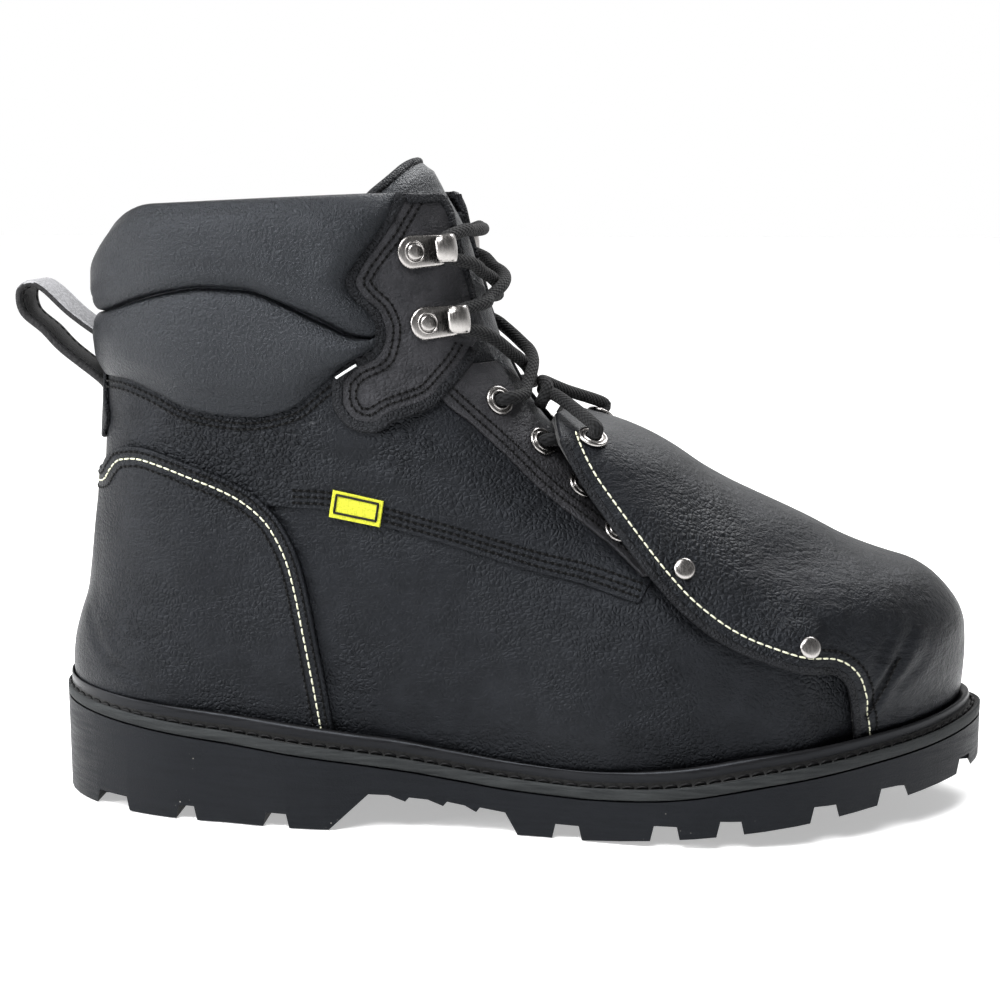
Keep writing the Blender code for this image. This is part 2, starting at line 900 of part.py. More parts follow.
def welt():
    rings = []
    for k in range(WELT_POINTS):
        t = -1.0 + 2.0 * k / WELT_POINTS
        skin = BODY.raw(t, 0.0)
        x = sole_x(t)
        half, mid = sole_side(x)
        side = -1.0 if t < 0 else 1.0
        if k == 0 or abs(t) < 1e-6:
            half = 0.0
        top = welt_top(x)
        out = Vector((x, mid + side * half, 0.0))
        flush = BODY.normal(t, 0.0)
        flush.z = 0.0
        flush.normalize()

        def at(p, z):
            return Vector((p.x, p.y, z))

        def lip(share, rise):
            v = rise / (rim(skin.x) - feather(skin.x))
            inner = BODY.point(t, v, lip_clear(t))
            p = out.lerp(inner, share)
            q = welt_top(x) * (1 - share) + welt_top(inner.x) * share
            return Vector((p.x, p.y, q + rise))

        ring = [
            at(out, top - EDGE_BAND),
            at(out, top - 0.0006),
            at(out - flush * 0.0006, top),
            lip(0.42, 0.0),
            lip(0.50, 0.0010),
            lip(0.56, 0.0034),
            lip(0.74, LIP_RISE),
            lip(1.00, LIP_RISE - 0.0008),
            lip(1.00, 0.0),
        ]
        inner = BODY.point(t, 0.0, -WELT_INNER)
        ring.append(Vector((inner.x, inner.y, welt_top(inner.x))))
        ring.append(Vector((inner.x, inner.y, welt_top(inner.x) - EDGE_BAND)))
        rings.append(ring)
    obj = loops("welt", rings, WELTING, True)
    smooth(obj, 50.0)
    return obj


def lip_clear(t):
    """Room between the form and the lip, wider where the counter passes."""
    x = BODY.raw(t, 0.0).x
    back = smooth_step((x_at(LIP_ROOM_SHARE) - x) / LIP_ROOM_REACH)
    return SEAT_GAP + back * (COUNTER_THICK + SEAT_GAP)


INSOLE_POINTS = 40


def insole():
    low = []
    top = []
    n = INSOLE_POINTS
    for k in range(n):
        t = -1.0 + 2.0 * k / n
        p = upper_skin(t, 0.0, -UPPER_WALL - 0.0009)
        z = welt_top(p.x) + 2.2 * SEAT_GAP
        low.append(Vector((p.x, p.y, z)))
        top.append(Vector((p.x, p.y, z + INSOLE_THICK)))
    verts = low + top
    faces = []
    for k in range(n):
        m = (k + 1) % n
        faces.append((k, m, n + m, n + k))
    for k in range(n // 2):
        quad = []
        for q in (k, (n - k) % n, (n - k - 1) % n, k + 1):
            if q not in quad:
                quad.append(q)
        if len(quad) >= 3:
            faces.append(tuple(quad))
            faces.append(tuple(n + q for q in reversed(quad)))
    obj = add_object("insole", verts, faces, BOARD, weld=0.00002)
    smooth(obj, 40.0)
    return obj


UPPER_LEVELS = (
    0.000, 0.030, 0.070, 0.120, 0.180, 0.235, 0.285, 0.335, 0.380,
    0.405, 0.425, 0.440, 0.475, 0.518, 0.565, 0.620, 0.680, 0.760, 0.860, 1.0,
)
UPPER_COLUMNS = 40


def throat_share(v):
    return spline(THROAT, 1, v)


def upper():
    outer = []
    inner = []
    for level in UPPER_LEVELS:
        ro = []
        ri = []
        for j in range(UPPER_COLUMNS + 1):
            a = -1.0 + 2.0 * j / UPPER_COLUMNS
            # a runs from the outer throat edge round the back to the inner one
            gate = throat_share(min(level, 1.0))
            s = gate + (1.0 - gate) * (1.0 - abs(a))
            t = -s if a < 0 else s
            if abs(a) < 1e-9:
                t = 1.0
            v = min(level, UPPER_TOP_LEVEL)
            ro.append(upper_skin(t, v))
            ri.append(upper_skin(t, v, -UPPER_WALL))
        outer.append(ro)
        inner.append(ri)
    rows = len(outer)
    cols = len(outer[0])
    start = min(range(rows), key=lambda i: abs(UPPER_LEVELS[i] - THROAT_BOTTOM))
    verts = [p for r in outer for p in r] + [p for r in inner for p in r]
    shift = rows * cols

    def o(i, j):
        if j == cols - 1 and i <= start:
            j = 0
        return i * cols + j

    def n(i, j):
        return shift + o(i, j)

    faces = []
    for i in range(rows - 1):
        for j in range(cols - 1):
            faces.append((o(i, j), o(i, j + 1), o(i + 1, j + 1), o(i + 1, j)))
            faces.append((n(i, j), n(i + 1, j), n(i + 1, j + 1), n(i, j + 1)))
    last = rows - 1
    for j in range(cols - 1):
        faces.append((o(0, j), n(0, j), n(0, j + 1), o(0, j + 1)))
        faces.append((o(last, j), o(last, j + 1), n(last, j + 1), n(last, j)))
    end = cols - 1
    for i in range(start, last):
        faces.append((o(i, 0), o(i + 1, 0), n(i + 1, 0), n(i, 0)))
        faces.append((o(i, end), n(i, end), n(i + 1, end), o(i + 1, end)))
    used = set()
    for f in faces:
        used.update(f)
    order = sorted(used)
    place = {k: i for i, k in enumerate(order)}
    verts = [verts[k] for k in order]
    faces = [tuple(place[k] for k in f) for f in faces]
    obj = add_object("upper", verts, faces, LEATHER, weld=0.00002)
    smooth(obj, 50.0)
    return obj


COUNTER_COLUMNS = 9


def heel_counter():
    outer = []
    inner = []
    for v in COUNTER_LEVELS:
        ro = []
        ri = []
        t0 = BODY.tau(x_at(spline(COUNTER_EDGE, 1, v)), v)
        for j in range(-COUNTER_COLUMNS, COUNTER_COLUMNS + 1):
            # the same columns as the upper's own, held at the counter's edge
            s = 1.0 - abs(j) * 2.0 / UPPER_COLUMNS
            if abs(j) == COUNTER_COLUMNS:
                s = t0
            s = max(s, t0)
            t = -s if j < 0 else s
            ro.append(BODY.point(t, v, COUNTER_GAP + COUNTER_THICK))
            ri.append(BODY.point(t, v, COUNTER_GAP))
        outer.append(ro)
        inner.append(ri)
    obj = slab("heel_counter", outer, inner, LEATHER)
    smooth(obj, 50.0)
    return obj


def back_stay():
    outer = []
    inner = []
    for z_share, half_share in STAY_EDGE:
        ro = []
        ri = []
        z = z_share * RIM_HEIGHT
        v = level_at(-0.034, z)
        half = half_share * BALL_WIDTH
        lo = 0.5
        hi = 1.0
        for _ in range(30):
            m = (lo + hi) / 2
            if abs(BODY.raw(m, v).y - swing(-0.03, v)) > half:
                lo = m
            else:
                hi = m
        for j in range(9):
            a = -1.0 + j / 4
            s = 1.0 - (1.0 - lo) * abs(a)
            t = -s if a < 0 else s
            if j == 4:
                t = 1.0
            ro.append(BODY.point(t, v, SEAT_GAP + STAY_THICK))
            ri.append(BODY.point(t, v, SEAT_GAP))
        outer.append(ro)
        inner.append(ri)
    obj = slab("back_stay", outer, inner, LEATHER)
    smooth(obj, 50.0)
    return obj


def edge_band_patch(name, rows, side, thick, mat, columns):
    """Strip between a back edge and a front edge, row by row in height."""
    outer = []
    inner = []
    for z_share, back_share, front_share in rows:
        z = z_share * RIM_HEIGHT
        xb = x_at(back_share)
        vb = level_at(xb, z)
        tb = BODY.tau(xb, vb)
        if front_share > 0.0:
            xf = x_at(front_share)
            tf = BODY.tau(xf, level_at(xf, z))
        else:
            tf = throat_share(vb) + 0.004
        ro = []
        ri = []
        gate = throat_share(vb)
        for j in range(columns + 1):
            # the same columns as the upper's own, held between the two edges
            own = gate + (1.0 - gate) * (columns - j) * 2.0 / UPPER_COLUMNS
            s = min(tb, max(tf, own))
            if j == 0:
                s = tb
            x = BODY.raw(s, vb).x
            v = level_at(x, z)
            ro.append(BODY.point(side * s, v, TRIM_GAP + thick))
            ri.append(BODY.point(side * s, v, TRIM_GAP))
        outer.append(ro)
        inner.append(ri)
    obj = slab(name, outer, inner, mat)
    smooth(obj, 50.0)
    return obj


def collar():
    rings = []
    for i in range(COLLAR_COLUMNS + 1):
        a = -1.0 + 2.0 * i / COLLAR_COLUMNS
        side = -1.0 if a < 0 else 1.0
        back = abs(i - COLLAR_COLUMNS / 2) < 0.1

        def place(share, off, drop=0.0):
            # height share 0 lower edge, 0.5 groove, 1 rim
            x = 0.0
            z = 0.8 * RIM_HEIGHT
            t = 1.0
            v = 0.8
            for _ in range(6):
                s = share_x(x)
                low = spline(COLLAR_LOW, 1, s) * RIM_HEIGHT
                mid = spline(COLLAR_MID, 1, s) * RIM_HEIGHT
                mid = max(mid, low + 0.004)
                top = rim(x) - 0.0025
                if share < 0.5:
                    z = low + (mid - low) * share / 0.5
                else:
                    z = mid + (top - mid) * (share - 0.5) / 0.5
                z -= drop
                v = level_at(x, z)
                edge = x_at(spline(COLLAR_FRONT, 1, z / RIM_HEIGHT))
                t0 = BODY.tau(edge, v)
                t = t0 + (1.0 - t0) * (1.0 - abs(a))
                if back:
                    t = 1.0
                x = BODY.raw(t, v).x
            return BODY.point(side * t if not back else 1.0, v, off)

        ring = []
        for share, thick in COLLAR_SWELL:
            ring.append(place(share, COLLAR_GAP + thick))
        ends = smooth_step((1.0 - abs(a)) / 0.24)
        inside = 1.2 * MM + (COLLAR_INSIDE - 1.2 * MM) * ends
        ring.append(place(1.0, 0.0004) + Vector((0, 0, 0.0024)))
        ring.append(place(1.0, -UPPER_WALL - inside * 0.6) + Vector((0, 0, 0.0012)))
        ring.append(place(1.0, -UPPER_WALL - inside * 0.95, 0.006))
        ring.append(place(1.0, -UPPER_WALL - inside, 0.018))
        ring.append(place(1.0, -UPPER_WALL - inside * 0.85, 0.032))
        ring.append(place(1.0, -UPPER_WALL - COLLAR_GAP - 0.0007, COLLAR_DEPTH))
        ring.append(place(1.0, -UPPER_WALL - COLLAR_GAP, 0.020))
        ring.append(place(1.0, -UPPER_WALL - COLLAR_GAP, 0.0030))
        ring.append(place(1.0, COLLAR_GAP, 0.0030))
        ring.append(place(0.6, COLLAR_GAP))
        ring.append(place(0.3, COLLAR_GAP))
        ring.append(place(0.0, COLLAR_GAP))
        rings.append(ring)
    obj = loops("collar", rings, CUFF, False)
    smooth(obj, 50.0)
    return obj


def met_guard():
    outer = []
    inner = []
    for v in GUARD_LEVELS:
        t0 = GUARD.tau(x_at(spline(GUARD_EDGE, 1, v)), v)
        ro = []
        ri = []
        for j in range(-GUARD_COLUMNS, GUARD_COLUMNS + 1):
            # the same columns as the upper's own at the toe, wider ones on the flap
            even = t0 * abs(j) / GUARD_COLUMNS
            own = min(t0, abs(j) * 2.0 / UPPER_COLUMNS)
            if abs(j) == GUARD_COLUMNS:
                own = t0
            blend = smooth_step((v - 0.10) / 0.08)
            s = own * (1.0 - blend) + even * blend
            t = -s if j < 0 else s
            p = GUARD.raw(t, v)
            thick = guard_thick(p.x, v)
            ro.append(p)
            ri.append(GUARD.point(t, v, -thick))
        outer.append(ro)
        inner.append(ri)
    obj = slab("met_guard", outer, inner, LEATHER)
    smooth(obj, 50.0)
    return obj


TONGUE_ROWS = 13
TONGUE_COLUMNS = 8


def tongue():
    outer = []
    inner = []
    first = TONGUE[0][0]
    for i in range(TONGUE_ROWS + 1):
        ro = []
        ri = []
        for j in range(TONGUE_COLUMNS + 1):
            a = -1.0 + 2.0 * j / TONGUE_COLUMNS
            last = TONGUE_TOP - TONGUE_CORNER_DROP * a * a
            v = first + (last - first) * i / TONGUE_ROWS
            half = spline(TONGUE, 1, v)
            thick = spline(TONGUE, 2, v)
            lean = spline(TONGUE, 3, v)
            t = a * half
            vb = min(v, 1.0)
            soft = math.cos(a * math.pi / 2) ** 0.6 if abs(a) < 0.999 else 0.0
            thick = 0.0016 + (thick - 0.0016) * soft
            gate = throat_share(v)
            lift = TONGUE_BULGE * smooth_step(1.0 - abs(t) / max(gate, 0.02))
            low = smooth_step((v - 0.44) / 0.06)
            off = -UPPER_WALL - 0.0011 + (0.0006 + lift) * low
            edge_round = smooth_step((TONGUE_TOP - TONGUE_CORNER_DROP * a * a - v) / 0.02)
            p = BODY.point(t, vb, off - (1 - edge_round) * thick * 0.25)
            q = BODY.point(t, vb, off - thick + (1 - edge_round) * thick * 0.25)
            up = Vector((-lean, 0, (v - vb) * (RIM_HEIGHT * 0.87)))
            ro.append(p + up)
            ri.append(q + up)
        outer.append(ro)
        inner.append(ri)
    obj = slab("tongue", outer, inner, CUFF)
    smooth(obj, 50.0)
    return obj


def frame_at(form, x, z, side, off):
    """Centre, outward normal, direction towards the front, upward direction."""
    v = level_at(x, z)
    t = form.tau(x, v) * side
    p = form.point(t, v, off)
    n = form.normal(t, v)
    f = Vector((1, 0, 0))
    f = (f - n * f.dot(n)).normalized()
    u = n.cross(f) if side > 0 else f.cross(n)
    if u.z < 0:
        u = -u
    return p, n, f, u.normalized()


def ring_solid(name, centre, axis, right, up, bore, outer, thick, sides, mat):
    profile = (
        (bore, 0.0),
        (outer, 0.0),
        ((bore + outer) / 2 + bore * 0.15, thick),
        (bore, thick * 0.75),
    )
    rings = []
    for k in range(sides):
        w = 2 * math.pi * k / sides
        d = right * math.cos(w) + up * math.sin(w)
        rings.append([centre + d * r + axis * h for r, h in profile])
    obj = loops(name, rings, mat, True)
    smooth(obj, 60.0)
    return obj


def dome(name, centre, axis, right, up, radius, tall, sides, mat):
    levels = ((1.0, 0.0), (0.94, 0.42), (0.60, 0.92))
    rings = []
    for r, h in levels:
        ring = []
        for k in range(sides):
            w = 2 * math.pi * k / sides
            d = right * math.cos(w) + up * math.sin(w)
            ring.append(centre + d * radius * r + axis * tall * h)
        rings.append(ring)
    obj = loops(name, rings, mat, False)
    smooth(obj, 60.0)
    return obj


def hook(name, x, z, side):
    p, n, f, u = frame_at(BODY, x, z, side, FACING_THICK + TRIM_GAP + 2 * SEAT_GAP)
    half = HOOK_LENGTH / 2 - HOOK_WIDTH / 2
    low = []
    top = []
    for k in range(12):
        w = 2 * math.pi * (k + 0.5) / 12
        c = half if math.cos(w) > 0 else -half
        d = f * (c + math.cos(w) * HOOK_WIDTH / 2) + u * (math.sin(w) * HOOK_WIDTH / 2)
        low.append(p + d)
        top.append(p + d + n * HOOK_PLATE)
    plate = loops(name, [low, top], NICKEL, False)
    seat = p - f * half + n * (HOOK_PLATE * 0.5)
    cap = dome(name + "_cap", seat, n, f, u, 3.0 * MM, 1.9 * MM, 8, NICKEL)
    # Hook: a bent tongue of the plate, open towards the back
    centre = p + f * (half + 0.4 * MM)
    prof = []
    for r, s in ((4.6 * MM, 0), (3.4 * MM, 1)):
        arc = []
        for k in range(5):
            w = -0.5 * math.pi + math.pi * k / 4
            arc.append((math.cos(w) * r * 0.85, math.sin(w) * r + 4.9 * MM))
        if s:
            arc.reverse()
        prof += arc
    rings = []
    for y, k in ((-3.6 * MM, 0.86), (0.0, 1.0), (3.6 * MM, 0.86)):
        ring = []
        for a, b in prof:
            ring.append(centre + f * (a * k) + n * (b * k + (1 - k) * 0.6 * MM) + u * y)
        rings.append(ring)
    cup = loops(name + "_cup", rings, NICKEL, False)
    combine(plate, [cap, cup], "UNION")
    smooth(plate, 50.0)
    return plate


LACE_SIDES = 6
LACE_OVER_TRIM = 4.7 * MM
LACE_OVER_TONGUE = 3.1 * MM
LACE_FROM_EYELET = 5.4 * MM
LACE_FROM_HOOK = 6.4 * MM
LACE_AT_HOOK = 5.3 * MM
LACE_HOOK_SPREAD = 4.6 * MM
LACE_TOP_RISE = 6.5 * MM
# Hidden bars under the guard: eyelet number, rise, how far below the common height
LACE_BARS = (
    (2, -3.0 * MM, 1.6 * MM),
    (3, 0.0, 0.0),
    (4, 0.0, 0.3 * MM),
)


def lace_height(t, v):
    """Height of a lace's middle over the form at ring share t."""
    gate = throat_share(v)
    on_trim = smooth_step((abs(t) - gate * 0.75) / 0.03)
    return LACE_OVER_TONGUE + (LACE_OVER_TRIM - LACE_OVER_TONGUE) * on_trim


def lace_anchor(spot, side, on_hook, rise=0.0):
    """Level, ring share and height at which a lace leaves a hook or an eyelet."""
    x = x_at(spot[0]) + LACE_FROM_EYELET
    if on_hook:
        x = x_at(spot[0]) + HOOK_LENGTH / 2 - HOOK_WIDTH / 2 + LACE_FROM_HOOK
    z = spot[1] * RIM_HEIGHT + rise
    v = level_at(x, z)
    lift = LACE_AT_HOOK if on_hook else LACE_OVER_TRIM
    return v, BODY.tau(x, v) * side, lift


def lace_path(start, end, bump, steps=9):
    """Path over the throat from one anchor to the other."""
    v0, t0, h0 = start
    v1, t1, h1 = end
    path = []
    for i in range(steps + 1):
        s = i / steps
        t = t0 + (t1 - t0) * s
        v = v0 + (v1 - v0) * s
        ends = smooth_step(min(s, 1.0 - s) / 0.14)
        anchor = h0 if s < 0.5 else h1
        off = anchor + (lace_height(t, v) - anchor) * ends
        off += bump * math.cos(math.pi * (s - 0.5)) ** 2
        path.append(BODY.point(t if abs(t) > 0.001 else 0.001, min(v, 1.0), off))
    return path


def lace_cross(name, upper_spot, lower_spot, upper_hook, lower_hook):
    down = -LACE_HOOK_SPREAD
    up = LACE_HOOK_SPREAD if lower_hook else 0.0
    paths = []
    for side, bump in ((-1, 0.0), (1, LACE_RADIUS * 1.5)):
        start = lace_anchor(upper_spot, side, upper_hook, down)
        end = lace_anchor(lower_spot, -side, lower_hook, up)
        paths.append(lace_path(start, end, bump))
    a, b = paths
    first = tube(name, a, LACE_RADIUS, LACE_SIDES, FABRIC)
    second = tube(name + "_b", b, LACE_RADIUS, LACE_SIDES, FABRIC)
    combine(first, [second], "UNION")
    smooth(first, 60.0)
    return first


def lace_bar(name, spot, rise, sink, on_hook):
    v0, t0, h0 = lace_anchor(spot, -1, on_hook)
    shift = rise / RIM_HEIGHT
    h0 = LACE_OVER_TRIM
    path = lace_path((v0 + shift, t0, h0), (v0 + shift, -t0, h0), -sink, 6)
    bar = tube(name, path, LACE_RADIUS, LACE_SIDES, FABRIC)
    smooth(bar, 60.0)
    return bar


GUARD_LACE_RISE = 4.0 * MM


def lace_over(name):
    """Two strands from the top eyelets over the guard's edge to its eyelets."""
    tubes = []
    for side, bump in ((-1, 0.0), (1, LACE_RADIUS * 1.4)):
        v0 = lace_anchor(EYELETS[0], -side, False)[0] - 0.02
        start = BODY.point(-side * throat_share(v0) * 0.7, v0, LACE_OVER_TONGUE)
        x1 = x_at(GUARD_EYELET[0])
        z1 = GUARD_EYELET[1] * RIM_HEIGHT
        p, n, f, u = frame_at(GUARD, x1, z1, side, 4.6 * MM)
        top = GUARD_LEVELS[-1]
        crest = GUARD.point(0.001, top, 0.0)
        mid = Vector((crest.x - 0.0075, 0.0, crest.z + GUARD_LACE_RISE + 0.0015 + bump))
        edge = GUARD.point(side * 0.055, top, 0.0) + Vector((0.0005, 0, GUARD_LACE_RISE))
        leave = start.lerp(mid, 0.45) + Vector((0.002, 0, 0.001 + bump * 0.4))
        tubes.append(bend([start, leave, mid, edge, p], 3))
    first = tube(name, tubes[0], LACE_RADIUS, LACE_SIDES, FABRIC)
    second = tube(name + "_b", tubes[1], LACE_RADIUS, LACE_SIDES, FABRIC)
    combine(first, [second], "UNION")
    smooth(first, 60.0)
    return first


def strap_loop():
    rings = []
    pts = [Vector((x_at(a), 0.0, b * RIM_HEIGHT)) for a, b in LOOP_PATH]
    path = bend(pts, 3)
    for i, p in enumerate(path):
        a = path[max(0, i - 1)]
        b = path[min(len(path) - 1, i + 1)]
        d = (b - a).normalized()
        n = Vector((-d.z, 0, d.x))
        h = LOOP_THICK / 2
        w = LOOP_WIDTH / 2
        mid = Vector((0, swing(-0.04, 0.8), 0))
        ring = []
        for s, y in ((1, -1), (1, 1), (-1, 1), (-1, -1)):
            ring.append(p + mid + n * (h * s) + Vector((0, w * y, 0)))
        rings.append(ring)
    obj = loops("pull_loop", rings, LEATHER, False)
    smooth(obj, 50.0)
    return obj


def label():
    outer = []
    inner = []
    a, b, c, d = LABEL_CORNERS
    for i in range(3):
        ro = []
        ri = []
        for j in range(5):
            s = j / 4
            r = i / 2
            x = (a[0] * (1 - s) + b[0] * s) * (1 - r) + (d[0] * (1 - s) + c[0] * s) * r
            z = (a[1] * (1 - s) + b[1] * s) * (1 - r) + (d[1] * (1 - s) + c[1] * s) * r
            ro.append(BODY.at_xz(x_at(x), z * RIM_HEIGHT, -1, SEAT_GAP + LABEL_THICK))
            ri.append(BODY.at_xz(x_at(x), z * RIM_HEIGHT, -1, SEAT_GAP))
        outer.append(ro)
        inner.append(ri)
    obj = slab("label", outer, inner, YELLOW)
    smooth(obj, 40.0)
    return obj


outsole()
welt()
insole()
upper()
heel_counter()
back_stay()
collar()
tongue()
met_guard()
for tag, side in (("outer", -1), ("inner", 1)):
    edge_band_patch("facing_" + tag, FACING_EDGE, side, FACING_THICK, LEATHER, 8)
    edge_band_patch("eyestay_" + tag, EYESTAY_EDGE, side, EYESTAY_THICK, LEATHER, 4)
    for number, (xs, zs) in enumerate(EYELETS):
        off = EYESTAY_THICK + TRIM_GAP + 1.3 * SEAT_GAP
        p, n, f, u = frame_at(BODY, x_at(xs), zs * RIM_HEIGHT, side, off)
        name = "eyelet_%s_%d" % (tag, number + 1)
        ring_solid(name, p, n, f, u, EYELET_BORE, EYELET_OUTER, EYELET_THICK, 10, NICKEL)
    for number, (xs, zs) in enumerate(HOOKS):
        hook("hook_%s_%d" % (tag, number + 1), x_at(xs), zs * RIM_HEIGHT, side)
    for number, (xs, zs, sink) in enumerate(RIVETS):
        p, n, f, u = frame_at(GUARD, x_at(xs), zs * RIM_HEIGHT, side, SEAT_GAP + 0.1 * MM - sink)
        dome("rivet_%s_%d" % (tag, number + 1), p, n, f, u, RIVET_RADIUS, 1.8 * MM, 12, NICKEL)
    x, z = x_at(GUARD_EYELET[0]), GUARD_EYELET[1] * RIM_HEIGHT
    p, n, f, u = frame_at(GUARD, x, z, side, SEAT_GAP + 0.1 * MM)
    ring_solid("guard_eyelet_" + tag, p, n, f, u, EYELET_BORE, EYELET_OUTER, EYELET_THICK, 10, NICKEL)
lace_cross("lace_cross_1", HOOKS[0], HOOKS[1], True, True)
lace_cross("lace_cross_2", HOOKS[1], EYELETS[0], True, False)
lace_bar("lace_bar_top", HOOKS[0], LACE_TOP_RISE, 0.0, True)
for number, rise, sink in LACE_BARS:
    lace_bar("lace_bar_%d" % number, EYELETS[number - 1], rise, sink, False)
lace_over("lace_cross_3")
strap_loop()
label()
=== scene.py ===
"""Looks of a metatarsal guard boot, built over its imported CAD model."""

import math

import bmesh
import bpy
import numpy as np
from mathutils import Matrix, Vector


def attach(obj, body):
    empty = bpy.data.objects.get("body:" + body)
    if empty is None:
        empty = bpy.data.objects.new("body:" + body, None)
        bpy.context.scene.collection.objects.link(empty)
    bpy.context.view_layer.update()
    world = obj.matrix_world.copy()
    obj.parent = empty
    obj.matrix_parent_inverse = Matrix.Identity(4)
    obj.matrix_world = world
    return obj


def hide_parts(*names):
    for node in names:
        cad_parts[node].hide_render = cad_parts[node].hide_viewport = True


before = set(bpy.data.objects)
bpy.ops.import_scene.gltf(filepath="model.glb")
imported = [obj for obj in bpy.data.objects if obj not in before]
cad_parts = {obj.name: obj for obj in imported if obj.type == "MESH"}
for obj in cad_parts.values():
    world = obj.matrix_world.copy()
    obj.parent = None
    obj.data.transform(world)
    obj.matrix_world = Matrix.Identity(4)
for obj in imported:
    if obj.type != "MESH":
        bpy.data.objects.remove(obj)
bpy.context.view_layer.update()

MM = 0.001

# Named sizes of the whole boot
SOLE_LENGTH = 0.315
BALL_WIDTH = 0.110
RIM_HEIGHT = 0.204
HEEL_CENTRE = 0.15238 * SOLE_LENGTH
SEAT_GAP = 0.3 * MM
UPPER_WALL = 2.0 * MM
TOE_STEP = 2.9 * MM
TOE_STEP_START = 0.795
TOE_STEP_END = 0.836
SOLE_BACK_X = -0.1562 * SOLE_LENGTH
SOLE_TOE_X = 0.8451 * SOLE_LENGTH
SOLE_BACK_ROUND = 0.1905 * SOLE_LENGTH
SOLE_TOE_ROUND = 0.2698 * SOLE_LENGTH
RIM_SLOPE = 0.045
RIM_SLOPE_START = 0.365
BACK_DIP = 0.1176 * RIM_HEIGHT
BACK_DIP_START = -0.019 * SOLE_LENGTH
BACK_DIP_REACH = 0.0762 * SOLE_LENGTH
BACK_DIP_ROUND = 0.96
BACK_DIP_FULL = 0.8
EDGE_BAND = 3.7 * MM

# Sole seen from above
# share of length, half width share of ball width, middle line share of ball width
SOLE_PLAN = (
    (0.00, 0.365, -0.009),
    (0.19, 0.388, -0.020),
    (0.28, 0.408, -0.038),
    (0.36, 0.388, -0.050),
    (0.455, 0.366, -0.060),
    (0.537, 0.388, -0.056),
    (0.616, 0.443, -0.043),
    (0.676, 0.482, -0.025),
    (0.73, 0.495, -0.005),
    (0.80, 0.495, 0.016),
    (0.88, 0.495, 0.055),
    (1.00, 0.495, 0.100),
)

# Top of the welt's edge: share of length, share of rim height
WELT_LINE = (
    (0.000, 0.181),
    (0.12, 0.1635),
    (0.22, 0.149),
    (0.32, 0.1319),
    (0.40, 0.1158),
    (0.4365, 0.1060),
    (0.504, 0.0915),
    (0.57, 0.0863),
    (0.625, 0.090),
    (0.68, 0.0985),
    (0.753, 0.1175),
    (0.86, 0.1365),
    (0.93, 0.1480),
    (1.000, 0.1640),
)

# Form of the upper, one row per level
# level, back x, front x, toe rounding, toe power (x as shares of length)
FORM_ENDS = (
    (0.000, 0.0143, 0.9714, 0.229, 1.80),
    (0.055, 0.0114, 0.9756, 0.222, 1.90),
    (0.110, 0.0140, 0.9765, 0.216, 2.00),
    (0.170, 0.0206, 0.9733, 0.210, 2.10),
    (0.240, 0.0300, 0.9510, 0.210, 2.10),
    (0.300, 0.0340, 0.8921, 0.222, 2.10),
    (0.360, 0.0375, 0.7900, 0.222, 2.20),
    (0.410, 0.0400, 0.6857, 0.190, 2.20),
    (0.480, 0.0440, 0.6010, 0.184, 2.20),
    (0.560, 0.0470, 0.5508, 0.184, 2.20),
    (0.650, 0.0500, 0.5063, 0.184, 2.20),
    (0.750, 0.0540, 0.4778, 0.184, 2.20),
    (0.860, 0.0575, 0.4587, 0.184, 2.20),
    (1.000, 0.0619, 0.4381, 0.184, 2.20),
)

# level, half widths at heel, waist, instep, ball, toe (shares of ball width)
FORM_WIDTHS = (
    (0.000, 0.305, 0.300, 0.300, 0.382, 0.409),
    (0.055, 0.318, 0.318, 0.327, 0.418, 0.427),
    (0.110, 0.318, 0.327, 0.345, 0.436, 0.432),
    (0.170, 0.314, 0.332, 0.355, 0.436, 0.423),
    (0.240, 0.305, 0.336, 0.359, 0.423, 0.391),
    (0.300, 0.300, 0.336, 0.359, 0.391, 0.327),
    (0.360, 0.295, 0.332, 0.355, 0.350, 0.255),
    (0.410, 0.291, 0.327, 0.345, 0.305, 0.220),
    (0.480, 0.291, 0.327, 0.341, 0.295, 0.220),
    (0.560, 0.291, 0.327, 0.341, 0.295, 0.220),
    (0.650, 0.300, 0.332, 0.341, 0.295, 0.220),
    (0.750, 0.309, 0.341, 0.345, 0.295, 0.220),
    (0.860, 0.323, 0.355, 0.355, 0.295, 0.220),
    (1.000, 0.332, 0.364, 0.355, 0.295, 0.220),
)
WIDTH_STATIONS = (0.12, 0.311, 0.454, 0.629, 0.803)
FORM_BACK_ROUND = 0.143
FORM_BACK_POWER = 2.1
SWING_FADE_LEVEL = 0.6

# Guard over the toe and the laces: level, front x, toe rounding, toe power
GUARD_ENDS = (
    (0.000, 0.9714, 0.229, 1.80),
    (0.055, 0.9756, 0.222, 1.90),
    (0.110, 0.9765, 0.216, 2.00),
    (0.170, 0.9740, 0.212, 2.10),
    (0.200, 0.9690, 0.212, 2.10),
    (0.250, 0.9505, 0.214, 2.10),
    (0.290, 0.9270, 0.220, 2.10),
    (0.313, 0.8995, 0.222, 2.15),
    (0.360, 0.8430, 0.222, 2.20),
    (0.403, 0.7990, 0.222, 2.25),
    (0.445, 0.7520, 0.222, 2.30),
    (0.498, 0.7030, 0.222, 2.30),
    (0.553, 0.6560, 0.222, 2.40),
    (0.588, 0.6130, 0.222, 2.50),
    (0.608, 0.5700, 0.222, 2.60),
    (0.620, 0.5460, 0.222, 2.60),
)

# level, half widths at ball and toe (shares of ball width)
GUARD_WIDTHS = (
    (0.000, 0.382, 0.409),
    (0.055, 0.418, 0.427),
    (0.110, 0.442, 0.434),
    (0.170, 0.466, 0.440),
    (0.250, 0.468, 0.422),
    (0.300, 0.448, 0.385),
    (0.360, 0.425, 0.340),
    (0.445, 0.405, 0.300),
    (0.553, 0.400, 0.290),
    (0.620, 0.400, 0.290),
)

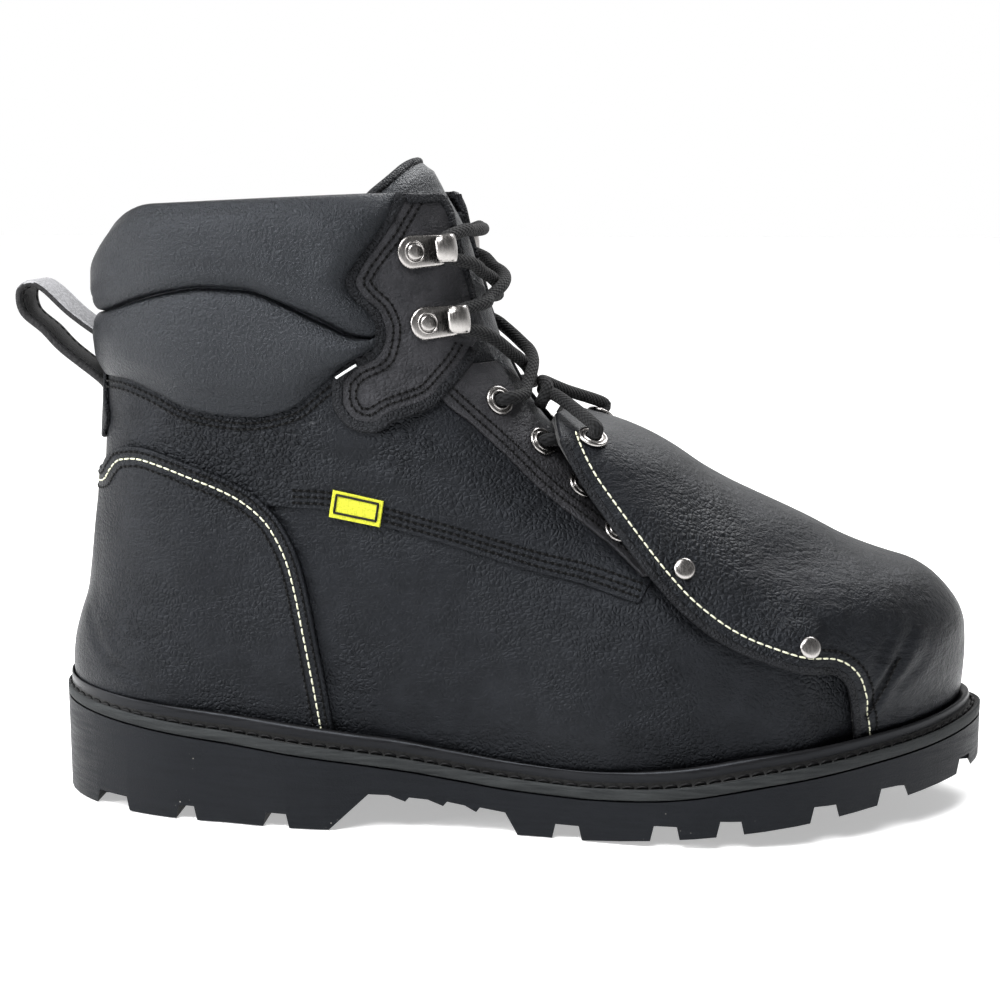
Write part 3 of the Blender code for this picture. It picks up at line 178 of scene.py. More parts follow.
# Free edge of the guard: level, x share of length
GUARD_EDGE = (
    (0.000, 0.853),
    (0.060, 0.848),
    (0.110, 0.843),
    (0.140, 0.837),
    (0.162, 0.822),
    (0.176, 0.790),
    (0.196, 0.762),
    (0.222, 0.732),
    (0.255, 0.704),
    (0.300, 0.674),
    (0.345, 0.650),
    (0.395, 0.626),
    (0.455, 0.598),
    (0.520, 0.570),
    (0.585, 0.549),
    (0.620, 0.540),
)
GUARD_TOE_THICK = 2.6 * MM
GUARD_FLAP_THICK = 4.4 * MM
GUARD_CLEAR = 0.7 * MM
GUARD_LEVELS = (
    0.004, 0.030, 0.070, 0.120, 0.150, 0.180, 0.235, 0.285, 0.335, 0.380,
    0.430, 0.480, 0.530, 0.570, 0.600, 0.620,
)

# Throat opening: level, share of the half ring left open on each side
THROAT_BOTTOM = 0.425
THROAT = (
    (0.425, 0.000),
    (0.440, 0.050),
    (0.470, 0.080),
    (0.520, 0.092),
    (0.600, 0.097),
    (0.800, 0.113),
    (1.100, 0.130),
)

# Counter's edge: level, x share of length
COUNTER_EDGE = (
    (0.000, 0.3175),
    (0.100, 0.3090),
    (0.200, 0.2990),
    (0.290, 0.2890),
    (0.345, 0.2800),
    (0.390, 0.2670),
    (0.425, 0.2520),
    (0.457, 0.2290),
    (0.480, 0.2020),
    (0.500, 0.1700),
    (0.518, 0.1380),
    (0.533, 0.1080),
    (0.545, 0.0800),
)
COUNTER_LEVELS = (
    0.004, 0.030, 0.070, 0.120, 0.180, 0.235, 0.285, 0.335, 0.380,
    0.425, 0.450, 0.475, 0.497, 0.518, 0.532, 0.545,
)
COUNTER_THICK = 1.6 * MM
COUNTER_GAP = 0.4 * MM

# Collar: lower edge and groove between its lobes (x share, height share)
COLLAR_LOW = (
    (0.035, 0.707),
    (0.090, 0.707),
    (0.128, 0.690),
    (0.164, 0.665),
    (0.200, 0.654),
    (0.235, 0.652),
    (0.275, 0.667),
    (0.296, 0.691),
    (0.316, 0.716),
    (0.336, 0.738),
    (0.360, 0.760),
)
COLLAR_MID = (
    (0.035, 0.800),
    (0.075, 0.812),
    (0.120, 0.835),
    (0.160, 0.850),
    (0.190, 0.856),
    (0.232, 0.853),
    (0.272, 0.831),
    (0.311, 0.802),
    (0.345, 0.778),
    (0.370, 0.776),
)
# Front edge of the collar: height share, x share
COLLAR_FRONT = (
    (0.740, 0.349),
    (0.765, 0.355),
    (0.790, 0.359),
    (0.815, 0.352),
    (0.840, 0.335),
    (0.865, 0.327),
    (0.890, 0.335),
    (0.945, 0.360),
    (1.000, 0.378),
)
# Thickness across a lobe pair: share of height, thickness
COLLAR_SWELL = (
    (0.00, 0.7 * MM),
    (0.06, 2.2 * MM),
    (0.16, 4.2 * MM),
    (0.30, 4.9 * MM),
    (0.42, 3.6 * MM),
    (0.50, 1.8 * MM),
    (0.58, 3.9 * MM),
    (0.72, 5.6 * MM),
    (0.86, 5.6 * MM),
    (0.95, 4.4 * MM),
    (1.00, 2.4 * MM),
)
COLLAR_INSIDE = 7.0 * MM
COLLAR_DEPTH = 0.045
COLLAR_GAP = 0.55 * MM
UPPER_TOP_LEVEL = 0.963

# Facing: height share, back x share, front x share (front 0 follows the throat)
FACING_EDGE = (
    (0.645, 0.345, 0.362),
    (0.660, 0.334, 0.376),
    (0.680, 0.327, 0.412),
    (0.705, 0.327, 0.428),
    (0.735, 0.341, 0.443),
    (0.755, 0.365, 0.450),
    (0.790, 0.369, 0.0),
    (0.815, 0.364, 0.0),
    (0.840, 0.349, 0.0),
    (0.865, 0.340, 0.0),
    (0.890, 0.347, 0.0),
    (0.945, 0.371, 0.0),
    (0.995, 0.388, 0.0),
)
FACING_THICK = 1.5 * MM
TRIM_GAP = 0.6 * MM

# Eyestay: height share, back x share, front x share (front 0 follows the throat)
EYESTAY_EDGE = (
    (0.412, 0.632, 0.642),
    (0.442, 0.608, 0.642),
    (0.476, 0.578, 0.630),
    (0.512, 0.546, 0.0),
    (0.548, 0.519, 0.0),
    (0.590, 0.492, 0.0),
    (0.642, 0.456, 0.0),
    (0.688, 0.426, 0.0),
    (0.712, 0.441, 0.0),
    (0.733, 0.452, 0.0),
)
EYESTAY_THICK = 1.3 * MM

# Back stay: height share, half width share of the ball width
STAY_EDGE = (
    (0.614, 0.150),
    (0.650, 0.125),
    (0.680, 0.112),
)
STAY_THICK = 1.4 * MM

# Eyelets and hooks: x share, height share
EYELETS = ((0.479, 0.672), (0.523, 0.604), (0.565, 0.535), (0.606, 0.470))
HOOKS = ((0.405, 0.909), (0.419, 0.800))
HOOK_LENGTH = 19.0 * MM
HOOK_WIDTH = 10.5 * MM
LACE_RADIUS = 2.1 * MM
# Rivets of the guard: x share, height share, how far below the smooth form they sit
RIVETS = ((0.674, 0.432, 0.0), (0.799, 0.316, 1.0 * MM))
GUARD_EYELET = (0.5795, 0.622)

# Tongue: level, half width share of the half ring, thickness, lean back
TONGUE = (
    (0.400, 0.110, 4.0 * MM, 0.0),
    (0.480, 0.190, 5.0 * MM, 0.0),
    (0.600, 0.250, 6.5 * MM, 0.0),
    (0.750, 0.285, 7.5 * MM, 0.0),
    (0.900, 0.295, 8.0 * MM, 1.0 * MM),
    (0.990, 0.290, 8.0 * MM, 5.0 * MM),
    (1.060, 0.270, 7.0 * MM, 11.0 * MM),
)
TONGUE_BULGE = 1.6 * MM
TONGUE_TOP = 1.058
TONGUE_CORNER_DROP = 0.075

# Pull loop seen from the side: x share of length, height share
LOOP_PATH = (
    (0.0372, 0.780),
    (0.0150, 0.806),
    (-0.0100, 0.842),
    (-0.0250, 0.852),
    (-0.0370, 0.838),
    (-0.0340, 0.804),
    (-0.0120, 0.774),
    (0.0080, 0.742),
    (0.0500, 0.691),
)
LOOP_WIDTH = 0.018
LOOP_THICK = 2.2 * MM

LABEL_CORNERS = ((0.3175, 0.540), (0.3700, 0.524), (0.3660, 0.483), (0.3130, 0.497))
LABEL_THICK = 0.6 * MM

SIDES = (("outer", -1), ("inner", 1))


def spline(rows, column, x):
    """Monotone curve through one column of a table, held at both ends."""
    if x <= rows[0][0]:
        return rows[0][column]
    if x >= rows[-1][0]:
        return rows[-1][column]
    k = 0
    while x > rows[k + 1][0]:
        k += 1

    def slope(j):
        return (rows[j + 1][column] - rows[j][column]) / (rows[j + 1][0] - rows[j][0])

    def tangent(j):
        if j == 0:
            return slope(0)
        if j == len(rows) - 1:
            return slope(j - 1)
        a = slope(j - 1)
        b = slope(j)
        if a * b <= 0.0:
            return 0.0
        return 2.0 * a * b / (a + b)

    x0 = rows[k][0]
    h = rows[k + 1][0] - x0
    t = (x - x0) / h
    y0 = rows[k][column]
    y1 = rows[k + 1][column]
    m0 = tangent(k) * h
    m1 = tangent(k + 1) * h
    a = (2 * t - 3) * t * t + 1
    b = ((t - 2) * t + 1) * t
    c = (3 - 2 * t) * t * t
    d = (t - 1) * t * t
    return a * y0 + b * m0 + c * y1 + d * m1


def smooth_step(t):
    t = min(1.0, max(0.0, t))
    return t * t * (3 - 2 * t)


def share_x(x):
    return (x + HEEL_CENTRE) / SOLE_LENGTH


def x_at(share):
    return share * SOLE_LENGTH - HEEL_CENTRE


def welt_top(x):
    return spline(WELT_LINE, 1, share_x(x)) * RIM_HEIGHT


def feather(x):
    return welt_top(x) + SEAT_GAP


def rim(x):
    top = RIM_HEIGHT - RIM_SLOPE * max(0.0, x_at(RIM_SLOPE_START) - x)
    t = min(1.0, max(0.0, (BACK_DIP_START - x) / BACK_DIP_REACH))
    return top - BACK_DIP * (1.0 - math.sqrt(1.0 - BACK_DIP_ROUND * t * t)) / BACK_DIP_FULL


def end_round(distance, reach, power):
    t = min(1.0, max(0.0, distance / reach))
    return max(0.0, 1.0 - (1.0 - t) ** power) ** (1.0 / power)


def sole_side(x):
    """Half width and middle line of the sole at x."""
    s = share_x(x)
    half = spline(SOLE_PLAN, 1, s) * BALL_WIDTH
    mid = spline(SOLE_PLAN, 2, s) * BALL_WIDTH
    half *= end_round(x - SOLE_BACK_X, SOLE_BACK_ROUND, 2.0)
    half *= end_round(SOLE_TOE_X - x, SOLE_TOE_ROUND, 1.75)
    return half, mid


def sole_x(t):
    """Station of the sole for ring share t (0 toe, 1 back)."""
    return SOLE_TOE_X - (SOLE_TOE_X - SOLE_BACK_X) * (1.0 - math.cos(math.pi * t)) / 2.0


def row_stations(values):
    return tuple(zip(WIDTH_STATIONS, values))


def swing(x, v):
    fade = max(0.0, 1.0 - v / SWING_FADE_LEVEL)
    return spline(SOLE_PLAN, 2, share_x(x)) * BALL_WIDTH * fade


def height(x, v):
    return feather(x) * (1.0 - v) + rim(x) * v


def level_at(x, z):
    low = feather(x)
    return (z - low) / (rim(x) - low)


class Form:
    """One skin of the boot: a stack of rings from the welt to the rim."""

    def __init__(self, guard=False):
        self.guard = guard
        self.memo = {}

    def row(self, v):
        key = round(v, 6)
        if key in self.memo:
            return self.memo[key]
        back = x_at(spline(FORM_ENDS, 1, v))
        front = x_at(spline(FORM_ENDS, 2, v))
        reach = spline(FORM_ENDS, 3, v) * SOLE_LENGTH
        power = spline(FORM_ENDS, 4, v)
        widths = [spline(FORM_WIDTHS, c, v) for c in range(1, 6)]
        if self.guard:
            front = x_at(spline(GUARD_ENDS, 1, v))
            reach = spline(GUARD_ENDS, 2, v) * SOLE_LENGTH
            power = spline(GUARD_ENDS, 3, v)
            widths[3] = spline(GUARD_WIDTHS, 1, v)
            widths[4] = spline(GUARD_WIDTHS, 2, v)
        data = (back, front, reach, power, row_stations(widths))
        self.memo[key] = data
        return data

    def tau(self, x, v):
        back, front = self.row(v)[:2]
        c = 1.0 - 2.0 * (front - x) / (front - back)
        return math.acos(min(1.0, max(-1.0, c))) / math.pi

    def raw(self, t, v):
        """Point at ring share t (0 front, 1 back, below 0 outer side)."""
        back, front = self.row(v)[:2]
        x = front - (front - back) * (1.0 - math.cos(math.pi * t)) / 2.0
        half = self.half_width(x, v)
        side = -1.0 if t < 0 else 1.0
        return Vector((x, swing(x, v) + side * half, height(x, v)))

    def half_width(self, x, v):
        back, front, reach, power, widths = self.row(v)
        half = spline(widths, 1, share_x(x)) * BALL_WIDTH
        half *= end_round(front - x, reach, power)
        half *= end_round(x - back, FORM_BACK_ROUND * SOLE_LENGTH, FORM_BACK_POWER)
        if self.guard and v > 0.03:
            # The guard clears the upper by its own thickness
            under = BODY.half_width(x, v)
            if under > 0.0:
                need = guard_thick(x, v) - toe_inset(x) + GUARD_CLEAR
                ease = smooth_step((v - 0.03) / 0.05) * smooth_step(under / 0.012)
                half = max(half, under + 1.12 * max(0.0, need) * ease)
        return half

    def normal(self, t, v):
        e = 0.004
        edge = min(abs(t), 1.0 - abs(t))
        if edge < 0.012:
            if abs(t) < 0.5:
                a = self.raw(-0.02, v)
                b = self.raw(0.02, v)
            else:
                a = self.raw(0.98, v)
                b = self.raw(-0.98, v)
        else:
            a = self.raw(t - e, v)
            b = self.raw(t + e, v)
        along = b - a
        up = self.raw(t, v + e) - self.raw(t, v - e)
        n = along.cross(up)
        if n.length < 1e-9:
            n = Vector((1, 0, 0))
        n.normalize()
        return n

    def point(self, t, v, off=0.0):
        p = self.raw(t, v)
        if off != 0.0:
            p = p + self.normal(t, v) * off
        return p


BODY = Form()
GUARD = Form(guard=True)


def guard_thick(x, v):
    flap = smooth_step((x_at(0.93) - x) / 0.05) * smooth_step((v - 0.10) / 0.12)
    return GUARD_TOE_THICK + (GUARD_FLAP_THICK - GUARD_TOE_THICK) * flap


def toe_inset(x):
    a = share_x(x)
    t = (a - TOE_STEP_START) / (TOE_STEP_END - TOE_STEP_START)
    return TOE_STEP * smooth_step(t)


def upper_skin(t, v, off=0.0):
    p = BODY.raw(t, v)
    return BODY.point(t, v, off - toe_inset(p.x))


# Camera at the photo's angle

cam_data = bpy.data.cameras.new("camera")
cam_data.lens = 66.0
cam_data.sensor_width = 36.0
cam_data.clip_start = 0.02
cam = bpy.data.objects.new("camera", cam_data)
cam.location = (0.1607, -0.6092, 0.2090)
cam.rotation_euler = (math.radians(80.0), 0.0, math.radians(5.5))
bpy.context.scene.collection.objects.link(cam)
bpy.context.scene.camera = cam


# Materials


class Paint:
    """Small helper that adds and joins shader nodes."""

    def __init__(self, name):
        self.mat = bpy.data.materials.new(name)
        self.mat.use_nodes = True
        self.tree = self.mat.node_tree
        self.shader = self.tree.nodes.get("Principled BSDF")
        self.place = self.node("ShaderNodeTexCoord").outputs["Object"]

    def node(self, kind, **values):
        n = self.tree.nodes.new(kind)
        for key, value in values.items():
            setattr(n, key, value)
        return n

    def join(self, a, b):
        self.tree.links.new(a, b)

    def set(self, name, value):
        self.shader.inputs[name].default_value = value

    def noise(self, scale, detail=3.0, rough=0.55, coords=None):
        n = self.node("ShaderNodeTexNoise")
        n.inputs["Scale"].default_value = scale
        n.inputs["Detail"].default_value = detail
        n.inputs["Roughness"].default_value = rough
        self.join(coords or self.place, n.inputs["Vector"])
        return n.outputs["Fac"]

    def cells(self, scale, feature="F1", coords=None, random=1.0):
        n = self.node("ShaderNodeTexVoronoi", feature=feature)
        n.inputs["Scale"].default_value = scale
        n.inputs["Randomness"].default_value = random
        self.join(coords or self.place, n.inputs["Vector"])
        return n.outputs["Distance"]

    def math(self, kind, a, b=None, c=None):
        n = self.node("ShaderNodeMath", operation=kind)
        for k, v in enumerate((a, b, c)):
            if v is None:
                continue
            if isinstance(v, (int, float)):
                n.inputs[k].default_value = v
            else:
                self.join(v, n.inputs[k])
        return n.outputs[0]

    def range(self, value, a, b, c, d):
        n = self.node("ShaderNodeMapRange")
        n.interpolation_type = "SMOOTHSTEP"
        self.join(value, n.inputs["Value"])
        for key, v in (("From Min", a), ("From Max", b), ("To Min", c), ("To Max", d)):
            n.inputs[key].default_value = v
        return n.outputs["Result"]

    def stretch(self, scale, turn=(0.0, 0.0, 0.0), coords=None):
        n = self.node("ShaderNodeMapping")
        n.inputs["Scale"].default_value = scale
        n.inputs["Rotation"].default_value = turn
        self.join(coords or self.place, n.inputs["Vector"])
        return n.outputs["Vector"]

    def warp(self, amount, scale):
        """Object coordinates pushed about a little, so that no pattern runs straight."""
        n = self.node("ShaderNodeTexNoise")
        n.inputs["Scale"].default_value = scale
        n.inputs["Detail"].default_value = 2.0
        self.join(self.place, n.inputs["Vector"])
        mix = self.node("ShaderNodeVectorMath", operation="MULTIPLY_ADD")
        self.join(n.outputs["Color"], mix.inputs[0])
        mix.inputs[1].default_value = (amount, amount, amount)
        self.join(self.place, mix.inputs[2])
        return mix.outputs[0]

    def blend(self, fac, a, b):
        n = self.node("ShaderNodeMix", data_type="RGBA")
        self.join(fac, n.inputs[0])
        for key, v in ((6, a), (7, b)):
            if isinstance(v, tuple):
                n.inputs[key].default_value = (v[0], v[1], v[2], 1.0)
            else:
                self.join(v, n.inputs[key])
        return n.outputs[2]

    def colour(self, out):
        self.join(out, self.shader.inputs["Base Color"])

    def rough(self, out):
        self.join(out, self.shader.inputs["Roughness"])

    def bump(self, height, strength, distance, before=None):
        n = self.node("ShaderNodeBump")
        n.inputs["Strength"].default_value = strength
        n.inputs["Distance"].default_value = distance
        self.join(height, n.inputs["Height"])
        if before is not None:
            self.join(before, n.inputs["Normal"])
        self.join(n.outputs["Normal"], self.shader.inputs["Normal"])
        return n.outputs["Normal"]


SHINE = 0.15
COOL = (0.84, 0.90, 1.0, 1.0)


def times(tone, share):
    """A darker or lighter tone, held under full white."""
    return tuple(min(1.0, c * share) for c in tone)


def grained(name, tone, grain, depth, rough, zones=(), plain=0.25, streak=None):
    """Black leather: pebbles where the hide is loose, fine pores, hairlines and uneven polish."""
    p = Paint(name)
    spot = p.warp(0.004, 90.0)
    pebbles = p.cells(grain, "SMOOTH_F1", spot)
    edges = p.range(p.cells(grain, "DISTANCE_TO_EDGE", spot), 0.0, 0.30, 0.0, 1.0)
    hill = p.math("MULTIPLY_ADD", pebbles, -0.9, edges)
    # the pebbles are strong inside the zones and faint elsewhere
    area = p.noise(30.0, 2.0, 0.5)
    strong = p.range(area, 0.40, 0.70, plain * 0.5, plain * 1.7)
    for centre, reach in zones:
        far = p.node("ShaderNodeVectorMath", operation="DISTANCE")
        p.join(p.stretch((1.0, 0.25, 1.0)), far.inputs[0])
        far.inputs[1].default_value = (centre[0], 0.0, centre[1])
        loose = p.range(far.outputs["Value"], reach * 0.35, reach * 1.25, 1.0, 0.0)
        loose = p.math("MULTIPLY", loose, p.range(area, 0.25, 0.6, 0.6, 1.0))
        strong = p.math("MAXIMUM", strong, loose)
    hill = p.math("MULTIPLY", hill, strong)
    pores = p.noise(grain * 5.0, 3.0, 0.65)
    hill = p.math("MULTIPLY_ADD", pores, 0.22, hill)
    hair = p.noise(300.0, 5.0, 0.7, p.stretch((0.5, 1.0, 1.8), (0.0, 0.7, 0.0), spot))
    hill = p.math("MULTIPLY_ADD", hair, 0.78, hill)
    if streak is not None:
        lines = p.noise(260.0, 4.0, 0.65, p.stretch(streak[0], streak[1], spot))
        hill = p.math("MULTIPLY_ADD", lines, streak[2], hill)
    wear = p.noise(140.0, 5.0, 0.65)
    base = p.blend(p.range(wear, 0.3, 0.75, 0.0, 1.0), times(tone, 0.65), times(tone, 1.35))
    # thin pale rubs where the hide has touched something
    rub = p.noise(26.0, 6.0, 0.75, p.stretch((2.0, 1.0, 5.0), (0.0, 0.6, 0.0)))
    rub = p.math("MULTIPLY", p.range(rub, 0.64, 0.72, 0.0, 1.0), p.range(hair, 0.50, 0.66, 0.0, 0.8))
    specks = p.range(p.cells(300.0), 0.05, 0.10, 1.0, 0.0)
    specks = p.math("MULTIPLY", specks, p.range(p.noise(90.0, 2.0, 0.5), 0.66, 0.72, 0.0, 0.6))
    p.colour(p.blend(p.math("MAXIMUM", rub, specks), base, (0.055, 0.056, 0.058)))
    p.rough(p.range(area, 0.25, 0.75, rough - 0.06, rough + 0.07))
    p.bump(hill, 1.0, depth)
    p.set("Specular IOR Level", SHINE)
    p.set("Specular Tint", COOL)
    return p.mat


def smooth_leather(name, tone, rough):
    """Padded cuff leather: fine even grain with a soft sheen."""
    p = Paint(name)
    spot = p.warp(0.002, 90.0)
    fine = p.cells(1050.0, "SMOOTH_F1", spot)
    pores = p.noise(2600.0, 2.0, 0.5)
    hill = p.math("MULTIPLY_ADD", fine, -0.8, pores)
    area = p.noise(30.0, 2.0, 0.5)
    p.colour(p.blend(area, times(tone, 0.85), times(tone, 1.15)))
    p.rough(p.range(area, 0.25, 0.75, rough - 0.04, rough + 0.05))
    p.bump(hill, 0.8, 0.00050)
    p.set("Specular IOR Level", 0.27)
    p.set("Specular Tint", COOL)
    return p.mat


def suede(name, tone):
    p = Paint(name)
    fluff = p.noise(900.0, 5.0, 0.7)
    area = p.noise(120.0, 3.0, 0.6)
    p.colour(p.blend(area, times(tone, 0.7), times(tone, 1.4)))
    p.bump(fluff, 0.9, 0.0005)
    p.set("Roughness", 0.92)
    p.set("Sheen Weight", 0.12)
    p.set("Specular IOR Level", 0.2)
    return p.mat


def rubber(name, tone, rough, grain, depth, fleck, uneven=1.0):
    p = Paint(name)
    fine = p.noise(grain, 4.0, 0.6)
    # moulding and wear leave faint level streaks
    run = p.noise(60.0, 5.0, 0.65, p.stretch((1.0, 1.0, 14.0)))
    hill = p.math("MULTIPLY_ADD", run, 0.8, fine)
    dust = p.cells(420.0, "F1")
    spots = p.range(dust, 0.05, 0.12, 1.0, 0.0)
    spots = p.math("MULTIPLY", spots, p.range(p.noise(75.0, 2.0, 0.5), 0.60, 0.72, 0.0, 1.0))
    streaks = p.range(run, 0.3, 0.7, 0.0, 1.0)
    base = p.blend(streaks, times(tone, 1.0 - 0.3 * uneven ** 0.5), times(tone, 1.0 + 0.35 * uneven))
    p.colour(p.blend(p.math("MULTIPLY", spots, fleck), base, (0.30, 0.29, 0.27)))
    p.rough(p.range(run, 0.3, 0.7, rough - 0.08, rough + 0.08))
    p.bump(hill, 0.6, depth)
    p.set("Specular IOR Level", 0.14)
    p.set("Specular Tint", COOL)
    return p.mat


def metal(name, tone, rough, brush):
    p = Paint(name)
    lines = p.noise(1500.0, 3.0, 0.6, p.stretch((1.0, 1.0, 0.12)))
    p.rough(p.range(lines, 0.3, 0.7, rough - 0.05, rough + 0.08))
    p.colour(p.blend(p.noise(500.0, 2.0, 0.5), times(tone, 0.85), tone))
    p.bump(lines, brush, 0.00004)
    p.set("Metallic", 1.0)
    return p.mat


def braid(name, tone, turns, pitch):
    """Round braided lace; its map runs in metres along u and once round in v."""
    p = Paint(name)
    uv = p.node("ShaderNodeUVMap").outputs["UV"]
    split = p.node("ShaderNodeSeparateXYZ")
    p.join(uv, split.inputs[0])
    along = p.math("MULTIPLY", split.outputs[0], 2.0 * math.pi / pitch)
    around = p.math("MULTIPLY", split.outputs[1], 2.0 * math.pi * turns)
    one = p.math("ABSOLUTE", p.math("SINE", p.math("ADD", along, around)))
    two = p.math("ABSOLUTE", p.math("SINE", p.math("SUBTRACT", along, around)))
    weave = p.math("MAXIMUM", one, two)
    dip = p.math("MULTIPLY", one, two)
    hill = p.math("MULTIPLY_ADD", dip, 0.6, weave)
    fuzz = p.noise(1800.0, 3.0, 0.6)
    hill = p.math("MULTIPLY_ADD", fuzz, 0.25, hill)
    # colour follows the weave's height: the grooves between strands get painted shade and the crowns a
    # painted highlight
    p.colour(p.blend(p.range(hill, 0.8, 1.6, 0.0, 1.0), times(tone, 0.5), times(tone, 1.4)))
    p.bump(hill, 1.0, 0.0003)
    p.set("Roughness", 0.78)
    p.set("Sheen Weight", 0.04)
    p.set("Specular IOR Level", 0.12)
    return p.mat


def thread(name, tone, rough=0.6):
    p = Paint(name)
    twist = p.noise(2600.0, 2.0, 0.6)
    p.colour(p.blend(twist, times(tone, 0.75), times(tone, 1.15)))
    p.bump(twist, 0.6, 0.0001)
    p.set("Specular IOR Level", 0.10)
    p.set("Roughness", rough)
    return p.mat


def woven(name, tone, depth=0.00025, scale=2.0e3):
    p = Paint(name)
    a = p.noise(scale, 1.0, 0.5, p.stretch((1.0, 1.0, 0.25)))
    b = p.noise(scale, 1.0, 0.5, p.stretch((0.25, 1.0, 1.0)))
    hill = p.math("ADD", a, b)
    p.colour(p.blend(p.range(hill, 0.8, 1.2, 0.0, 1.0), times(tone, 0.8), times(tone, 1.1)))
    p.bump(hill, 0.8, depth)
    p.set("Roughness", 0.75)
    p.set("Specular IOR Level", 0.3)
    return p.mat


BLACK = (0.0040, 0.0043, 0.0052)
# where the hide is loose: x and z of the middle, reach
LOOSE_HIDE = (((0.022, 0.128), 0.034), ((0.075, 0.125), 0.016))
LOOSE_GUARD = (((0.163, 0.088), 0.024), ((0.190, 0.066), 0.020))
GUARD_STREAK = ((0.35, 1.0, 1.0), (0.0, 0.5, 0.0), 1.3)
HIDE = grained("black_grain", BLACK, 640.0, 0.00060, 0.40, LOOSE_HIDE, 0.24)
HIDE_GUARD = grained("guard_grain", BLACK, 600.0, 0.00058, 0.40, LOOSE_GUARD, 0.12, GUARD_STREAK)
HIDE_SOFT = grained("facing_grain", (0.0200, 0.0195, 0.0212), 640.0, 0.00085, 0.42, (), 0.18)
HIDE_FINE = grained("trim_grain", (0.0060, 0.0060, 0.0066), 760.0, 0.00070, 0.52, (), 0.7)
CUFF = smooth_leather("cuff_grain", (0.0048, 0.0053, 0.0062), 0.33)
SUEDE = suede("cut_edge", (0.0075, 0.0075, 0.0080))
LINING = woven("lining_cloth", (0.030, 0.030, 0.032))
FOOTBED = woven("footbed_cloth", (0.045, 0.044, 0.042), 0.0004, 900.0)
SOLE = rubber("sole_rubber_worn", (0.0034, 0.0037, 0.0045), 0.52, 1500.0, 0.00024, 0.7)
LIP = rubber("welt_lip_rubber", (0.0070, 0.0070, 0.0076), 0.34, 1400.0, 0.00010, 0.1)
BAND = rubber("welt_band", (0.0155, 0.0165, 0.0165), 0.68, 1200.0, 0.00030, 0.4, 2.0)
CHANNEL = suede("channel_fibre", (0.006, 0.006, 0.006))
STEEL = metal("gunmetal", (0.36, 0.345, 0.335), 0.24, 0.25)
LACE = braid("lace_braid", (0.0060, 0.0062, 0.0068), 4.0, 0.0040)
CREAM = thread("cream_thread", (0.56, 0.56, 0.42))
DARK_THREAD = thread("black_thread", (0.0045, 0.0045, 0.0048), 0.45)
SLIVER = thread("pale_lining", (0.62, 0.64, 0.64), 0.7)
# near-black discs for needle holes and eyelet bores: painted shade inside the holes
HOLE_SHADE = thread("needle_hole_painted_shade", (0.0012, 0.0012, 0.0012), 0.95)
YELLOW_TAG = woven("yellow_tag", (0.40, 0.41, 0.020), 0.00018, 2600.0)
TAG_BLACK = thread("tag_black", (0.010, 0.010, 0.010), 0.7)
WEBBING = woven("loop_webbing", (0.0070, 0.0070, 0.0078), 0.0004, 1500.0)
# pale copy of the loop's weave: painted highlight on the strap's upward face
WEBBING_LIT_FACE = woven("loop_face_painted_highlight", (0.24, 0.24, 0.25), 0.0005, 1300.0)


def keep(obj, slot, *nodes):
    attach(obj, "root")
    if nodes:
        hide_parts(*nodes)


# Mesh building


def solid(name, verts, faces, mat, smooth=True, uv=None, mats=None, slots=None):
    mesh = bpy.data.meshes.new(name)
    points = [tuple(v) for v in np.asarray(verts, float)]
    mesh.from_pydata(points, [], [tuple(int(k) for k in f) for f in faces])
    mesh.update()
    if smooth:
        mesh.polygons.foreach_set("use_smooth", [True] * len(mesh.polygons))
    obj = bpy.data.objects.new(name, mesh)
    bpy.context.scene.collection.objects.link(obj)
    mesh.materials.append(mat)
    for m in mats or ():
        mesh.materials.append(m)
    if slots is not None:
        mesh.polygons.foreach_set("material_index", slots)
    if uv is not None:
        layer = mesh.uv_layers.new(name="UVMap")
        loops = np.zeros(len(mesh.loops), np.int32)
        mesh.loops.foreach_get("vertex_index", loops)
        layer.data.foreach_set("uv", np.asarray(uv, np.float32)[loops].ravel())
    return obj


def quads(rows, cols, shift=0, wrap=False, flip=False):
    i, j = np.meshgrid(np.arange(rows - 1), np.arange(cols if wrap else cols - 1), indexing="ij")
    k = (j + 1) % cols
    a = shift + i * cols + j
    b = shift + i * cols + k
    c = shift + (i + 1) * cols + k
    d = shift + (i + 1) * cols + j
    f = np.stack([a, b, c, d], -1).reshape(-1, 4)
    return f[:, ::-1] if flip else f


def wall_faces(rows, cols, start=0):
    """Faces of two like grids, the outer one first, and of the rims that join them."""
    m = rows * cols
    rims = []
    for j in range(cols - 1):
        q = m - cols + j
        rims += [(j, m + j, m + j + 1, j + 1), (q, q + 1, m + q + 1, m + q)]
    for i in range(start, rows - 1):
        q = i * cols
        k = q + cols - 1
        rims += [(q, q + cols, m + q + cols, m + q), (k, m + k, m + k + cols, k + cols)]
    return np.concatenate([quads(rows, cols), quads(rows, cols, m, flip=True), np.array(rims)])


def unit(v):
    return v / np.maximum(np.linalg.norm(v, axis=-1, keepdims=True), 1e-12)


def edge_steps(count, reach, length):
    """Shares from 0 to 1, fine near both ends where an edge is rounded."""
    near = [0.0, 0.10, 0.30, 0.62, 1.0, 1.7]
    low = [n * reach / length for n in near]
    mid = np.linspace(low[-1], 1.0 - low[-1], count)[1:-1].tolist()
    return low + mid + [1.0 - n for n in reversed(low)]


def lengths(P):
    """Distance along a grid's rows and columns from each of its four sides."""
    down = np.zeros(P.shape[:2])
    down[1:] = np.cumsum(np.linalg.norm(np.diff(P, axis=0), axis=-1), axis=0)
    across = np.zeros(P.shape[:2])
    across[:, 1:] = np.cumsum(np.linalg.norm(np.diff(P, axis=1), axis=-1), axis=1)
    return down, down[-1:] - down, across, across[:, -1:] - across


